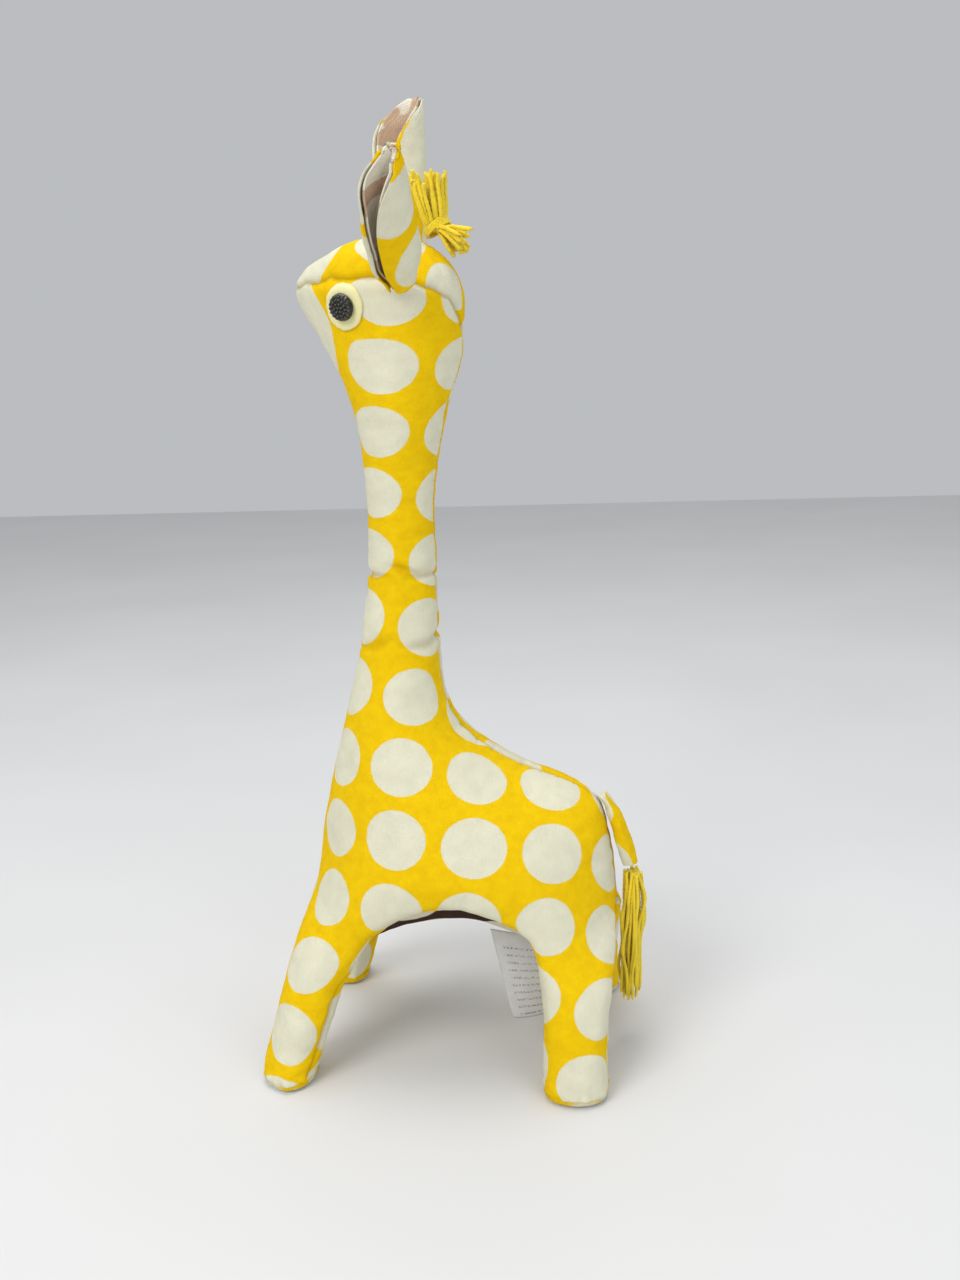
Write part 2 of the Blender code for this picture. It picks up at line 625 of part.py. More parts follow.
def build_body(collection, looks):
    seams = {
        "throat": sampled(THROAT),
        "front_leg_fore": sampled(FRONT_LEG_FORE),
        "front_leg_hind": sampled(FRONT_LEG_HIND),
        "arch": sampled(ARCH),
        "rear_leg_fore": sampled(REAR_LEG_FORE),
        "rear_leg_hind": sampled(REAR_LEG_HIND),
        "back": sampled(BACK),
        "crown": sampled(CROWN),
        "front_leg_top": sampled(FRONT_LEG_TOP),
        "rear_leg_top": sampled(REAR_LEG_TOP),
        "front_sole": straight((FRONT_TOE_Y, FOOT_Z, FOOT_X), (FRONT_HEEL_Y, FOOT_Z, FOOT_X), SOLE_PITCH),
        "rear_sole": straight((REAR_TOE_Y, FOOT_Z, FOOT_X), (REAR_HEEL_Y, FOOT_Z, FOOT_X), SOLE_PITCH),
    }
    soles = ("front_sole", "rear_sole")

    def parts_of(*names):
        return [(n.lstrip("-"), seams[n.lstrip("-")][::-1] if n[0] == "-" else seams[n]) for n in names]

    side_names = parts_of(
        "throat", "front_leg_fore", "front_sole", "front_leg_hind", "arch", "rear_leg_fore",
        "rear_sole", "rear_leg_hind", "back", "crown",
    )
    front_names = parts_of("front_leg_fore", "front_sole", "front_leg_hind", "-front_leg_top")
    rear_names = parts_of("rear_leg_fore", "rear_sole", "rear_leg_hind", "-rear_leg_top")
    side = facing(filled_panel(side_names, soles, FULLNESS, 1), (1, 0, 0))
    front_inner = facing(filled_panel(front_names, soles, INNER_FULLNESS, -1), (-1, 0, 0))
    rear_inner = facing(filled_panel(rear_names, soles, INNER_FULLNESS, -1), (-1, 0, 0))
    crown = facing(gusset([(CROWN, CROWN_TOP)]), (0, 0, 1))
    belly_seams = [
        (FRONT_LEG_TOP, FRONT_TOP_MIDDLE), (ARCH, ARCH_MIDDLE), (REAR_LEG_TOP, REAR_TOP_MIDDLE),
    ]
    belly = facing(gusset(belly_seams), (0, 0, -1))
    panels = {
        "side_panel_left": side,
        "side_panel_right": mirrored(side),
        "head_gusset": crown,
        "belly_gusset": belly,
        "inner_leg_front_left": front_inner,
        "inner_leg_front_right": mirrored(front_inner),
        "inner_leg_rear_left": rear_inner,
        "inner_leg_rear_right": mirrored(rear_inner),
    }
    feet = {}
    for end, inner, toe, heel in (
        ("front", front_inner, FRONT_TOE_Y, FRONT_HEEL_Y),
        ("rear", rear_inner, REAR_TOE_Y, REAR_HEEL_Y),
    ):
        loop = sole_loop(side, inner, toe, heel)
        feet[f"sole_{end}_left"] = loop
        feet[f"sole_{end}_right"] = [(-x, y, z) for x, y, z in loop]
    for name, panel in panels.items():
        look = looks["brown_dots"] if name == "belly_gusset" else looks["yellow_dots"]
        solidify(add_object(name, panel_mesh(name, panel), look, collection), CLOTH, -1)
    closing = []
    for name, loop in feet.items():
        mesh = bpy.data.meshes.new(name)
        flat = [(x, y, 0.0) for x, y, _ in loop]
        middle = np.mean(np.array(flat), axis=0)
        fan = [(i, (i + 1) % len(loop), len(loop)) for i in range(len(loop))]
        flat.append(tuple(middle))
        _, downward = facing((np.array(flat), fan), (0, 0, -1))
        mesh.from_pydata(metres(flat), [], downward)
        solidify(add_object(name, mesh, looks["yellow_dots"], collection), CLOTH, -1)
        raised = np.array(loop + [(middle[0], middle[1], FOOT_Z)])
        closing.append(facing((raised, fan), (0, 0, -1)))
    points, faces = joined_cover(list(panels.values()) + closing)
    mesh = bpy.data.meshes.new("stuffing")
    mesh.from_pydata(metres(points), [], faces)
    shape = bmesh.new()
    shape.from_mesh(mesh)
    shape.normal_update()
    depths = [(v, v.normal.copy()) for v in shape.verts]
    for vertex, normal in depths:
        vertex.co -= normal * STUFFING_DEPTH * MM
    shape.to_mesh(mesh)
    shape.free()
    add_object("stuffing", mesh, looks["stuffing"], collection)
    surface = BVHTree.FromPolygons([Vector(p) for p in metres(side[0])], side[1])
    other = panels["side_panel_right"]
    return surface, BVHTree.FromPolygons([Vector(p) for p in metres(other[0])], other[1])


def build_face(collection, looks, surfaces):
    for name, side, surface in (("left", 1, surfaces[0]), ("right", -1, surfaces[1])):
        mesh, place, normal = felt_mesh(f"eye_felt_{name}", side, surface)
        solidify(add_object(f"eye_felt_{name}", mesh, looks["felt"], collection), FELT_THICKNESS, 1)
        button_object(f"eye_button_{name}", place, normal, looks["button"], collection)
        ear = EARS[name]
        outer = ear_mesh(f"ear_outer_{name}", ear, 0.0)
        lining = ear_mesh(f"ear_lining_{name}", ear, EAR_CLOTH + 2 * GAP)
        solidify(
            add_object(f"ear_outer_{name}", outer, looks["yellow_dots"], collection, ear["seat"]),
            EAR_CLOTH, -1,
        )
        solidify(
            add_object(f"ear_lining_{name}", lining, looks["tan_dots"], collection, ear["seat"]),
            EAR_CLOTH, -1,
        )


def build_trim(collection, looks):
    add_object("mane_tuft", loft_mesh("mane_tuft", TUFT), looks["yarn"], collection)
    band = ring_mesh(
        "mane_binding", TUFT_BINDING_AT, *TUFT_BINDING_RADII, TUFT_BINDING_THICKNESS, TUFT_BINDING_TILT
    )
    add_object("mane_binding", band, looks["yarn"], collection)
    add_object("tail_strip", loft_mesh("tail_strip", TAIL), looks["yellow_dots"], collection, TAIL_HINGE)
    add_object("tail_tassel", loft_mesh("tail_tassel", TASSEL), looks["yarn"], collection, TASSEL_HINGE)
    label_pivot = (LABEL_X, *LABEL_SEWN[0])
    label = add_object("care_label", label_mesh("care_label"), looks["satin"], collection, label_pivot)
    solidify(label, LABEL_THICKNESS, 0)


def main():
    for old in list(bpy.data.objects):
        bpy.data.objects.remove(old)
    collection = bpy.data.collections.new("stuffed_giraffe")
    bpy.context.scene.collection.children.link(collection)
    looks = {
        "yellow_dots": material("yellow_dots", (0.88, 0.60, 0.01), 0.85),
        "brown_dots": material("brown_dots", (0.06, 0.035, 0.02), 0.9),
        "tan_dots": material("tan_dots", (0.62, 0.44, 0.29), 0.85),
        "stuffing": material("stuffing", (0.75, 0.73, 0.68), 0.95),
        "felt": material("felt", (0.90, 0.85, 0.42), 0.95),
        "button": material("button", (0.01, 0.01, 0.008), 0.35),
        "yarn": material("yarn", (0.80, 0.62, 0.01), 0.9),
        "satin": material("satin", (0.62, 0.62, 0.60), 0.4),
    }
    surfaces = build_body(collection, looks)
    build_face(collection, looks, surfaces)
    build_trim(collection, looks)


main()
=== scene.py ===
import math

import bmesh
import bpy
import numpy as np
from mathutils import Matrix, Vector, kdtree, noise
from mathutils.bvhtree import BVHTree


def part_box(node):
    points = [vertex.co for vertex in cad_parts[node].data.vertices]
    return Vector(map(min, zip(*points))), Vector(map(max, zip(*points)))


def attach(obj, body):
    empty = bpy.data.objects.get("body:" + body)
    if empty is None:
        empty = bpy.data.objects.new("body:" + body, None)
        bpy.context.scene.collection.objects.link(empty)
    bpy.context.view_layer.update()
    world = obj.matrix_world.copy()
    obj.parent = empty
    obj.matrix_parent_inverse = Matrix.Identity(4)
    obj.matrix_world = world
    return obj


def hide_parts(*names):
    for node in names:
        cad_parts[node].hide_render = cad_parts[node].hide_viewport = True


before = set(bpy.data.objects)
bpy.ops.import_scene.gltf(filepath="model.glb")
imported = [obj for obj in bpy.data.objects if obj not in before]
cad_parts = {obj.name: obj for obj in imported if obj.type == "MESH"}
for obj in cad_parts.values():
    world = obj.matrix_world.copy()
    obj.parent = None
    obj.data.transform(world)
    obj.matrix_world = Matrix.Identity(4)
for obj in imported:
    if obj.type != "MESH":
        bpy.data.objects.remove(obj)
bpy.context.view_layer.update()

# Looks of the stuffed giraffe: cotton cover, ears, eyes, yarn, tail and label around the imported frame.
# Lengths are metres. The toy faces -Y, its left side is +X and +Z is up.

MM = 0.001

# How the CAD panels are made: the sheet's thickness, and how far its border stands back from a seam
CLOTH = 0.7 * MM
SEAM_SETBACK = 1.5 * MM

# The middle plane of the toy, and places read from the frame
STUFFING_LOW, STUFFING_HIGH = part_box("stuffing")
MIDDLE_X = (STUFFING_LOW.x + STUFFING_HIGH.x) / 2
BREAST_Y = STUFFING_LOW.y + 69.1 * MM

# Printed cotton: dots in a square lattice
DOT_PITCH = 24.0 * MM
DOT_RADIUS = 9.7 * MM
DOT_BLUR = 0.18 * MM
PRINT_WANDER = 0.0005
WEAVE_PITCH = 0.62 * MM

# How much the stuffing stretches the side panels' cloth along and up, how it is gathered up the neck,
# how the print leans back up the neck, widens on the head, and leans forward down the hind leg
SIDE_STRETCH = (1.025, 0.93)
NECK_GATHER = 0.17
NECK_GATHER_FROM = 155 * MM
NECK_LEAN = 0.045
NOSE_LIFT = 0.8
NOSE_LIFT_FROM = -34 * MM
NECK_LEAN_FROM = 105 * MM
HEAD_WIDEN = 0.12
HEAD_FRONT = -31 * MM
HIND_SHIFT = 7 * MM

# Legs and feet: how tightly the soles turn, how far the front legs' seams turn out, how the heels spread
SOLE_CREASE = 0.8
FRONT_LEG_TWIST = math.radians(30)
HEEL_FLARE = 2.5 * MM
SOLE_RIM_LIFT = 1.3 * MM

# Each panel's place on the printed cloth: shift along and up (mm), and turn (degrees)
CLOTH_PLACE = {
    "side_panel_left": (13.9, -10.0, 6.5),
    "side_panel_right": (9.0, 6.0, 4.0),
    "head_gusset": (48.4, -8.1, -6.0),
    "belly_gusset": (-12.7, -13.2, -14.5),
    "inner_leg_front_left": (47.8, -5.6, 14.0),
    "inner_leg_front_right": (12.0, 5.0, -6.0),
    "inner_leg_rear_left": (5.0, 10.0, 3.0),
    "inner_leg_rear_right": (14.0, 2.0, -3.0),
    "sole_front_left": (0.0, 1.0, 0.0),
    "sole_front_right": (1.0, 0.0, 0.0),
    "sole_rear_left": (0.0, -1.0, 0.0),
    "sole_rear_right": (-1.0, 0.0, 0.0),
}
COVER_PANELS = list(CLOTH_PLACE)
GROUND = {"belly_gusset": "brown_dots"}

# Colours, linear
YELLOW = (0.88, 0.60, 0.004)
YELLOW_DEEP = (0.80, 0.50, 0.003)
DOT_WHITE = (0.76, 0.75, 0.58)
BROWN = (0.055, 0.030, 0.020)
TAN = (0.66, 0.47, 0.33)
FELT_CREAM = (0.92, 0.87, 0.46)
YARN_YELLOW = (0.88, 0.66, 0.004)

# Where the print lies on each ear and on the tail, where the neck's creases run (height, depth, width), and
# how much painted shade darkens the cloth in those creases
EAR_PRINT = {"left": (14.1, -0.6), "right": (8.6, 3.0)}
LINING_PRINT = {"left": (-0.5, 3.5), "right": (11.5, 3.5)}
TAIL_PRINT = (8.0, 0.0)
NECK_CREASES = ((0.1590, 1.9, 1.2), (0.1562, 1.1, 0.8), (0.1372, 1.2, 1.5), (0.1338, 0.7, 1.0))
CREASE_SHADE = 0.16

# Eyes: how the felt's facing is averaged, the button's share of its CAD radius, and how far the painted
# highlight on each knot's top reaches, as a share of the button's radius
FACING_SAMPLES = 12
FACING_REACH = 0.6
BUTTON_FILL = 0.98
KNOT_HIGHLIGHT_REACH = 0.075


# ---------- meshes read from the frame ----------

def mesh_arrays(mesh):
    """A CAD node's mesh, welded, as points and triangles."""
    shape = bmesh.new()
    shape.from_mesh(mesh)
    bmesh.ops.remove_doubles(shape, verts=shape.verts, dist=1e-6)
    bmesh.ops.triangulate(shape, faces=shape.faces)
    shape.verts.ensure_lookup_table()
    points = np.array([v.co[:] for v in shape.verts])
    triangles = [tuple(v.index for v in f.verts) for f in shape.faces]
    shape.free()
    return points, triangles


STUFFING = mesh_arrays(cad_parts["stuffing"].data)
STUFFING_TREE = BVHTree.FromPolygons([Vector(p) for p in STUFFING[0]], STUFFING[1])


def off_stuffing(point):
    return STUFFING_TREE.find_nearest(Vector(point))[3]


def outer_sheet(name, height):
    """The outer of a CAD shell's two layers, as an open sheet. `height` says which point lies further out."""
    points, triangles = mesh_arrays(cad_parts[name].data)
    tree = kdtree.KDTree(len(points))
    for i, point in enumerate(points):
        tree.insert(point, i)
    tree.balance()
    heights = [height(point) for point in points]
    outer = np.zeros(len(points), bool)
    for i, point in enumerate(points):
        near = [n for n in tree.find_range(point, 1.04 * CLOTH) if n[1] != i] or [tree.find_n(point, 2)[1]]
        partner = min(near, key=lambda n: abs(n[2] - CLOTH))[1]
        outer[i] = heights[i] > heights[partner]
    kept = [t for t in triangles if outer[list(t)].all()]
    used = sorted({i for t in kept for i in t})
    number = {old: new for new, old in enumerate(used)}
    return points[used], [tuple(number[i] for i in t) for t in kept]


def rim_of(triangles):
    """Each border vertex with its two neighbours along the border."""
    count = {}
    for t in triangles:
        for a, b in ((t[0], t[1]), (t[1], t[2]), (t[2], t[0])):
            key = (min(a, b), max(a, b))
            count[key] = count.get(key, 0) + 1
    rim = {}
    for (a, b), n in count.items():
        if n == 1:
            rim.setdefault(a, []).append(b)
            rim.setdefault(b, []).append(a)
    return rim


def restored(points, triangles):
    """Moves a panel's border back out to its seams."""
    rim = rim_of(triangles)
    inner = {i: set() for i in rim}
    for t in triangles:
        for i in t:
            if i in rim:
                inner[i].update(j for j in t if j != i and j not in rim[i])
    moved = points.copy()
    for i, beside in rim.items():
        if inner[i]:
            aim = np.mean(points[list(inner[i])], axis=0) - points[i]
        else:
            aim = np.mean(points[beside], axis=0) - points[i]
        if inner[i] and len(beside) == 2:
            along = points[beside[1]] - points[beside[0]]
            along /= np.linalg.norm(along)
            aim = aim - (aim @ along) * along
        moved[i] = points[i] - SEAM_SETBACK * aim / np.linalg.norm(aim)
    return moved


# ---------- flattening a curved panel to the cloth it was cut from ----------

def flattened(points, triangles, guess, rounds=14):
    """As-rigid-as-possible flat coordinates of a sheet, in metres, from a first guess."""
    flat = np.array(guess, float)
    n = len(points)
    weights = np.zeros((n, n))
    local = []
    for t in triangles:
        a, b, c = points[list(t)]
        x = np.linalg.norm(b - a)
        along = (b - a) / x
        y = (c - a) - ((c - a) @ along) * along
        corners = np.array([[0, 0], [x, 0], [(c - a) @ along, np.linalg.norm(y)]])
        cots = []
        for k in range(3):
            u = corners[(k + 1) % 3] - corners[k]
            v = corners[(k + 2) % 3] - corners[k]
            cots.append(float(np.clip((u @ v) / max(abs(u[0] * v[1] - u[1] * v[0]), 1e-12), -4, 4)))
        local.append((t, corners, cots))
        for k in range(3):
            i, j = t[(k + 1) % 3], t[(k + 2) % 3]
            w = max(cots[k], 0.05)
            weights[i, j] -= w
            weights[j, i] -= w
            weights[i, i] += w
            weights[j, j] += w
    first = flat[0].copy()
    inverse = np.linalg.inv(weights[1:, 1:])
    sign = 0.0
    for t, corners, _ in local:
        a, b, c = flat[list(t)]
        sign += (b[0] - a[0]) * (c[1] - a[1]) - (b[1] - a[1]) * (c[0] - a[0])
    flip = -1.0 if sign < 0 else 1.0
    for _ in range(rounds):
        right = np.zeros((n, 2))
        for t, corners, cots in local:
            rest = corners * np.array([1.0, flip])
            spread = np.zeros((2, 2))
            for k in range(3):
                i, j = (k + 1) % 3, (k + 2) % 3
                w = max(cots[k], 0.05)
                spread += w * np.outer(flat[t[i]] - flat[t[j]], rest[i] - rest[j])
            u, _, v = np.linalg.svd(spread)
            turn = u @ v
            if np.linalg.det(turn) < 0:
                u[:, 1] *= -1
                turn = u @ v
            for k in range(3):
                i, j = (k + 1) % 3, (k + 2) % 3
                w = max(cots[k], 0.05)
                side = w * (turn @ (rest[i] - rest[j]))
                right[t[i]] += side
                right[t[j]] -= side
        solved = inverse @ (right[1:] - np.outer(weights[1:, 0], first))
        flat[1:] = solved
    return flat


def placed_on_cloth(name, flat):
    along, up, turn = CLOTH_PLACE[name]
    angle = math.radians(turn)
    spin = np.array([[math.cos(angle), -math.sin(angle)], [math.sin(angle), math.cos(angle)]])
    if name.startswith("side"):
        length, height = flat.T
        widened = HEAD_WIDEN * np.clip((height - 190 * MM) / (35 * MM), 0, 1) * (length - HEAD_FRONT)
        leaning = NECK_LEAN * np.clip(height - NECK_LEAN_FROM, 0, None)
        hind = HIND_SHIFT * np.clip((50 * MM - height) / (45 * MM), 0, 1) * np.clip(length / (15 * MM), 0, 1)
        gathered = NECK_GATHER * np.clip(height - NECK_GATHER_FROM, 0, None)
        at_head = np.clip((height - 225 * MM) / (15 * MM), 0, 1)
        lifted = NOSE_LIFT * np.clip(NOSE_LIFT_FROM - length, 0, None) * at_head
        flat = np.column_stack([length - widened - leaning + hind, height + gathered - lifted])
        flat = flat @ spin.T / np.array(SIDE_STRETCH)
    else:
        flat = flat @ spin.T
    return flat + np.array([along, up]) * MM


# ---------- meshes made here ----------

def new_object(name, points, faces, uvs=None, indices=None, smooth=True):
    """A mesh object; uvs are per corner, in face order."""
    mesh = bpy.data.meshes.new(name)
    mesh.from_pydata([tuple(p) for p in points], [], [tuple(f) for f in faces])
    if uvs is not None:
        layer = mesh.uv_layers.new(name="Cloth")
        layer.data.foreach_set("uv", np.array(uvs, np.float32).ravel())
    if indices is not None:
        mesh.polygons.foreach_set("material_index", np.array(indices, np.int32))
    mesh.polygons.foreach_set("use_smooth", [smooth] * len(mesh.polygons))
    made = bpy.data.objects.new(name, mesh)
    bpy.context.scene.collection.objects.link(made)
    return made


def subdivided(obj, levels):
    """The object's mesh after smooth subdivision, as points, quads, corner uvs, face indices."""
    smooth = obj.modifiers.new("smooth", "SUBSURF")
    smooth.levels = levels
    smooth.render_levels = levels
    smooth.uv_smooth = "PRESERVE_BOUNDARIES"
    graph = bpy.context.evaluated_depsgraph_get()
    mesh = bpy.data.meshes.new_from_object(
        obj.evaluated_get(graph), preserve_all_data_layers=True, depsgraph=graph
    )
    points = np.zeros(len(mesh.vertices) * 3)
    mesh.vertices.foreach_get("co", points)
    normals = np.zeros(len(mesh.vertices) * 3)
    mesh.vertices.foreach_get("normal", normals)
    corners = np.zeros(len(mesh.loops), np.int64)
    mesh.loops.foreach_get("vertex_index", corners)
    indices = np.zeros(len(mesh.polygons), np.int64)
    mesh.polygons.foreach_get("material_index", indices)
    uvs = None
    if mesh.uv_layers:
        uvs = np.zeros(len(mesh.loops) * 2)
        mesh.uv_layers[0].data.foreach_get("uv", uvs)
        uvs = uvs.reshape(-1, 4, 2)
    quads = corners.reshape(-1, 4)
    bpy.data.objects.remove(obj)
    return points.reshape(-1, 3), normals.reshape(-1, 3), quads, uvs, indices


def vertex_normals(points, quads):
    across = np.cross(points[quads[:, 2]] - points[quads[:, 0]], points[quads[:, 3]] - points[quads[:, 1]])
    normals = np.zeros_like(points)
    for k in range(4):
        np.add.at(normals, quads[:, k], across)
    return normals / np.maximum(np.linalg.norm(normals, axis=1, keepdims=True), 1e-12)


def noise_at(points, scale, seed):
    offset = Vector((seed * 3.1, seed * 5.7, seed * 1.3))
    return np.array([noise.noise(Vector(p) * scale + offset) for p in points])


def distances_to(points, chosen):
    tree = kdtree.KDTree(len(chosen))
    for i, point in enumerate(chosen):
        tree.insert(point, i)
    tree.balance()
    return np.array([tree.find(p)[2] for p in points])


# ---------- materials ----------

class Nodes:
    """Short ways to build a material's node tree."""

    def __init__(self, name):
        self.material = bpy.data.materials.new(name)
        self.material.use_nodes = True
        self.tree = self.material.node_tree
        self.shader = self.tree.nodes["Principled BSDF"]

    def add(self, kind, **settings):
        node = self.tree.nodes.new(kind)
        for key, value in settings.items():
            setattr(node, key, value)
        return node

    def link(self, source, target):
        self.tree.links.new(source, target)

    def put(self, value, target):
        if isinstance(value, bpy.types.NodeSocket):
            self.link(value, target)
        elif isinstance(value, tuple) and len(value) == 3 and target.type == "RGBA":
            target.default_value = (*value, 1.0)
        else:
            target.default_value = value

    def math(self, operation, *values):
        node = self.add("ShaderNodeMath", operation=operation)
        for socket, value in zip(node.inputs, values):
            self.put(value, socket)
        return node.outputs[0]

    def vector(self, operation, *values):
        node = self.add("ShaderNodeVectorMath", operation=operation)
        for socket, value in zip(node.inputs, values):
            self.put(value, socket)
        return node.outputs["Value"] if operation == "LENGTH" else node.outputs["Vector"]

    def mix(self, share, first, second):
        node = self.add("ShaderNodeMix", data_type="RGBA")
        self.put(share, node.inputs["Factor"])
        self.put(first, node.inputs["A"] if "A" in node.inputs else node.inputs[6])
        self.put(second, node.inputs["B"] if "B" in node.inputs else node.inputs[7])
        return node.outputs[2]

    def ramp(self, value, low, high, to_low=0.0, to_high=1.0):
        node = self.add("ShaderNodeMapRange", clamp=True)
        for socket, amount in zip(node.inputs, (value, low, high, to_low, to_high)):
            self.put(amount, socket)
        return node.outputs[0]

    def noise(self, coordinates, scale, detail=2.0, roughness=0.5):
        node = self.add("ShaderNodeTexNoise")
        self.link(coordinates, node.inputs["Vector"])
        node.inputs["Scale"].default_value = scale
        node.inputs["Detail"].default_value = detail
        node.inputs["Roughness"].default_value = roughness
        return node.outputs["Fac"]

    def uv(self):
        return self.add("ShaderNodeUVMap", uv_map="Cloth").outputs["UV"]

    def object(self):
        return self.add("ShaderNodeTexCoord").outputs["Object"]

    def bump(self, height, strength, distance, under=None):
        node = self.add("ShaderNodeBump")
        node.inputs["Strength"].default_value = strength
        node.inputs["Distance"].default_value = distance
        self.link(height, node.inputs["Height"])
        if under is not None:
            self.link(under, node.inputs["Normal"])
        return node.outputs["Normal"]


def weave_height(n, uv, pitch):
    """Plain weave: threads over and under each other at the given pitch."""
    parts = n.add("ShaderNodeSeparateXYZ")
    n.link(uv, parts.inputs[0])
    turns = 2 * math.pi / pitch
    warp = n.math("SINE", n.math("MULTIPLY", parts.outputs["X"], turns))
    weft = n.math("SINE", n.math("MULTIPLY", parts.outputs["Y"], turns))
    return n.math("MULTIPLY", warp, weft)


def dotted_cotton(name, ground, ground_deep, dot):
    n = Nodes(name)
    uv = n.uv()
    wander = n.add("ShaderNodeTexNoise")
    n.link(uv, wander.inputs["Vector"])
    wander.inputs["Scale"].default_value = 420.0
    wander.inputs["Detail"].default_value = 2.0
    centred = n.vector("SUBTRACT", wander.outputs["Color"], (0.5, 0.5, 0.5))
    shift = n.vector("MULTIPLY", centred, (PRINT_WANDER,) * 3)
    spot = n.vector("DIVIDE", n.vector("ADD", uv, shift), (DOT_PITCH, DOT_PITCH, 1.0))
    wrapped = n.vector("FRACTION", n.vector("ADD", spot, (100.5, 100.5, 0.0)))
    cell = n.vector("SUBTRACT", wrapped, (0.5, 0.5, 0.0))
    flat = n.vector("MULTIPLY", cell, (DOT_PITCH, DOT_PITCH, 0.0))
    distance = n.vector("LENGTH", flat)
    inside = n.ramp(distance, DOT_RADIUS + DOT_BLUR, DOT_RADIUS - DOT_BLUR)
    mottle = n.noise(uv, 260.0, 3.0, 0.6)
    slub = n.noise(n.vector("MULTIPLY", uv, (1.0, 0.12, 1.0)), 2600.0, 2.0)
    shade = n.ramp(mottle, 0.3, 0.75)
    ground_colour = n.mix(shade, ground_deep, ground)
    dot_shade = tuple(0.90 * c for c in dot)
    dot_colour = n.mix(n.ramp(n.noise(uv, 180.0, 3.0), 0.25, 0.75), dot_shade, dot)
    printed = n.mix(inside, ground_colour, dot_colour)
    grain = n.ramp(slub, 0.2, 0.8, 0.0, 0.12)
    # Painted shade from the seam_shade attribute: the cloth turns darker along seams and in creases. This is
    # added to the slubs' real darker tone.
    seam = n.add("ShaderNodeAttribute", attribute_name="seam_shade").outputs["Fac"]
    slub_tone_and_painted_shade = n.mix(n.math("ADD", grain, seam), printed, tuple(0.42 * c for c in ground_deep))
    n.link(slub_tone_and_painted_shade, n.shader.inputs["Base Color"])
    n.shader.inputs["Roughness"].default_value = 0.86
    n.shader.inputs["Specular IOR Level"].default_value = 0.06
    weave = n.bump(weave_height(n, uv, WEAVE_PITCH), 0.35, 0.00012)
    wrinkle = n.bump(n.noise(uv, 300.0, 4.0, 0.62), 0.35, 0.0007, weave)
    n.link(wrinkle, n.shader.inputs["Normal"])
    return n.material


def felt_material():
    n = Nodes("felt")
    place = n.object()
    fuzz = n.noise(place, 2600.0, 4.0, 0.7)
    shaded = tuple(0.86 * c for c in FELT_CREAM)
    n.link(n.mix(n.ramp(fuzz, 0.25, 0.8), shaded, FELT_CREAM), n.shader.inputs["Base Color"])
    n.shader.inputs["Roughness"].default_value = 0.95
    n.shader.inputs["Sheen Weight"].default_value = 0.3
    n.link(n.bump(fuzz, 0.6, 0.0004), n.shader.inputs["Normal"])
    return n.material


def button_material():
    n = Nodes("button")
    place = n.object()
    speck = n.noise(place, 1500.0, 3.0)
    dark = n.mix(n.ramp(speck, 0.3, 0.8), (0.006, 0.007, 0.004), (0.022, 0.022, 0.014))
    # Painted highlight: the knots' tops are coloured pale grey, standing in for the glints of light on them
    top = n.add("ShaderNodeAttribute", attribute_name="knot_top_highlight").outputs["Fac"]
    n.link(n.mix(n.math("MULTIPLY", top, 0.7), dark, (0.17, 0.17, 0.14)), n.shader.inputs["Base Color"])
    n.link(n.ramp(speck, 0.3, 0.7, 0.16, 0.3), n.shader.inputs["Roughness"])
    n.link(n.bump(speck, 0.2, 0.0002), n.shader.inputs["Normal"])
    return n.material


def yarn_material():
    n = Nodes("yarn")
    place = n.object()
    fibre = n.noise(n.vector("MULTIPLY", place, (1.0, 1.0, 0.25)), 3200.0, 3.0, 0.7)
    tone = n.noise(place, 240.0, 2.0)
    base = n.mix(n.ramp(tone, 0.3, 0.7), tuple(0.8 * c for c in YARN_YELLOW), YARN_YELLOW)
    n.link(n.mix(n.ramp(fibre, 0.3, 0.8, 0.0, 0.3), base, (0.95, 0.78, 0.08)), n.shader.inputs["Base Color"])
    n.shader.inputs["Roughness"].default_value = 0.9
    n.shader.inputs["Sheen Weight"].default_value = 0.25
    n.link(n.bump(fibre, 0.5, 0.0003), n.shader.inputs["Normal"])
    return n.material


def satin_material():
    n = Nodes("satin")
    uv = n.uv()
    parts = n.add("ShaderNodeSeparateXYZ")
    n.link(uv, parts.inputs[0])
    thread = n.math("SINE", n.math("MULTIPLY", parts.outputs["X"], 2 * math.pi / (0.4 * MM)))
    tone = n.noise(uv, 300.0, 3.0)
    cloth = n.mix(n.ramp(tone, 0.3, 0.7), (0.54, 0.54, 0.53), (0.60, 0.60, 0.585))
    row = n.math("FRACT", n.math("DIVIDE", parts.outputs["Y"], 2.7 * MM))
    inked = n.math("MULTIPLY", n.ramp(row, 0.40, 0.46), n.ramp(row, 0.74, 0.68))
    strokes = n.noise(n.vector("MULTIPLY", uv, (1.0, 0.6, 1.0)), 1900.0, 1.0)
    inked = n.math("MULTIPLY", inked, n.ramp(strokes, 0.47, 0.53))
    for low, high in ((2.4, 3.0), (17.4, 16.8)):
        inked = n.math("MULTIPLY", inked, n.ramp(parts.outputs["X"], low * MM, high * MM))
    inked = n.math("MULTIPLY", inked, n.ramp(parts.outputs["Y"], 27.5 * MM, 26.5 * MM, 0.0, 0.55))
    n.link(n.mix(inked, cloth, (0.06, 0.06, 0.06)), n.shader.inputs["Base Color"])
    n.link(n.ramp(tone, 0.3, 0.7, 0.38, 0.5), n.shader.inputs["Roughness"])
    n.link(n.bump(thread, 0.15, 0.0001), n.shader.inputs["Normal"])
    return n.material


def fibre_material():
    n = Nodes("stuffing_fibre")
    tuft = n.noise(n.object(), 700.0, 5.0, 0.7)
    wool = n.mix(n.ramp(tuft, 0.3, 0.7), (0.62, 0.60, 0.55), (0.80, 0.78, 0.73))
    n.link(wool, n.shader.inputs["Base Color"])
    n.shader.inputs["Roughness"].default_value = 0.95
    n.link(n.bump(tuft, 0.6, 0.001), n.shader.inputs["Normal"])
    return n.material


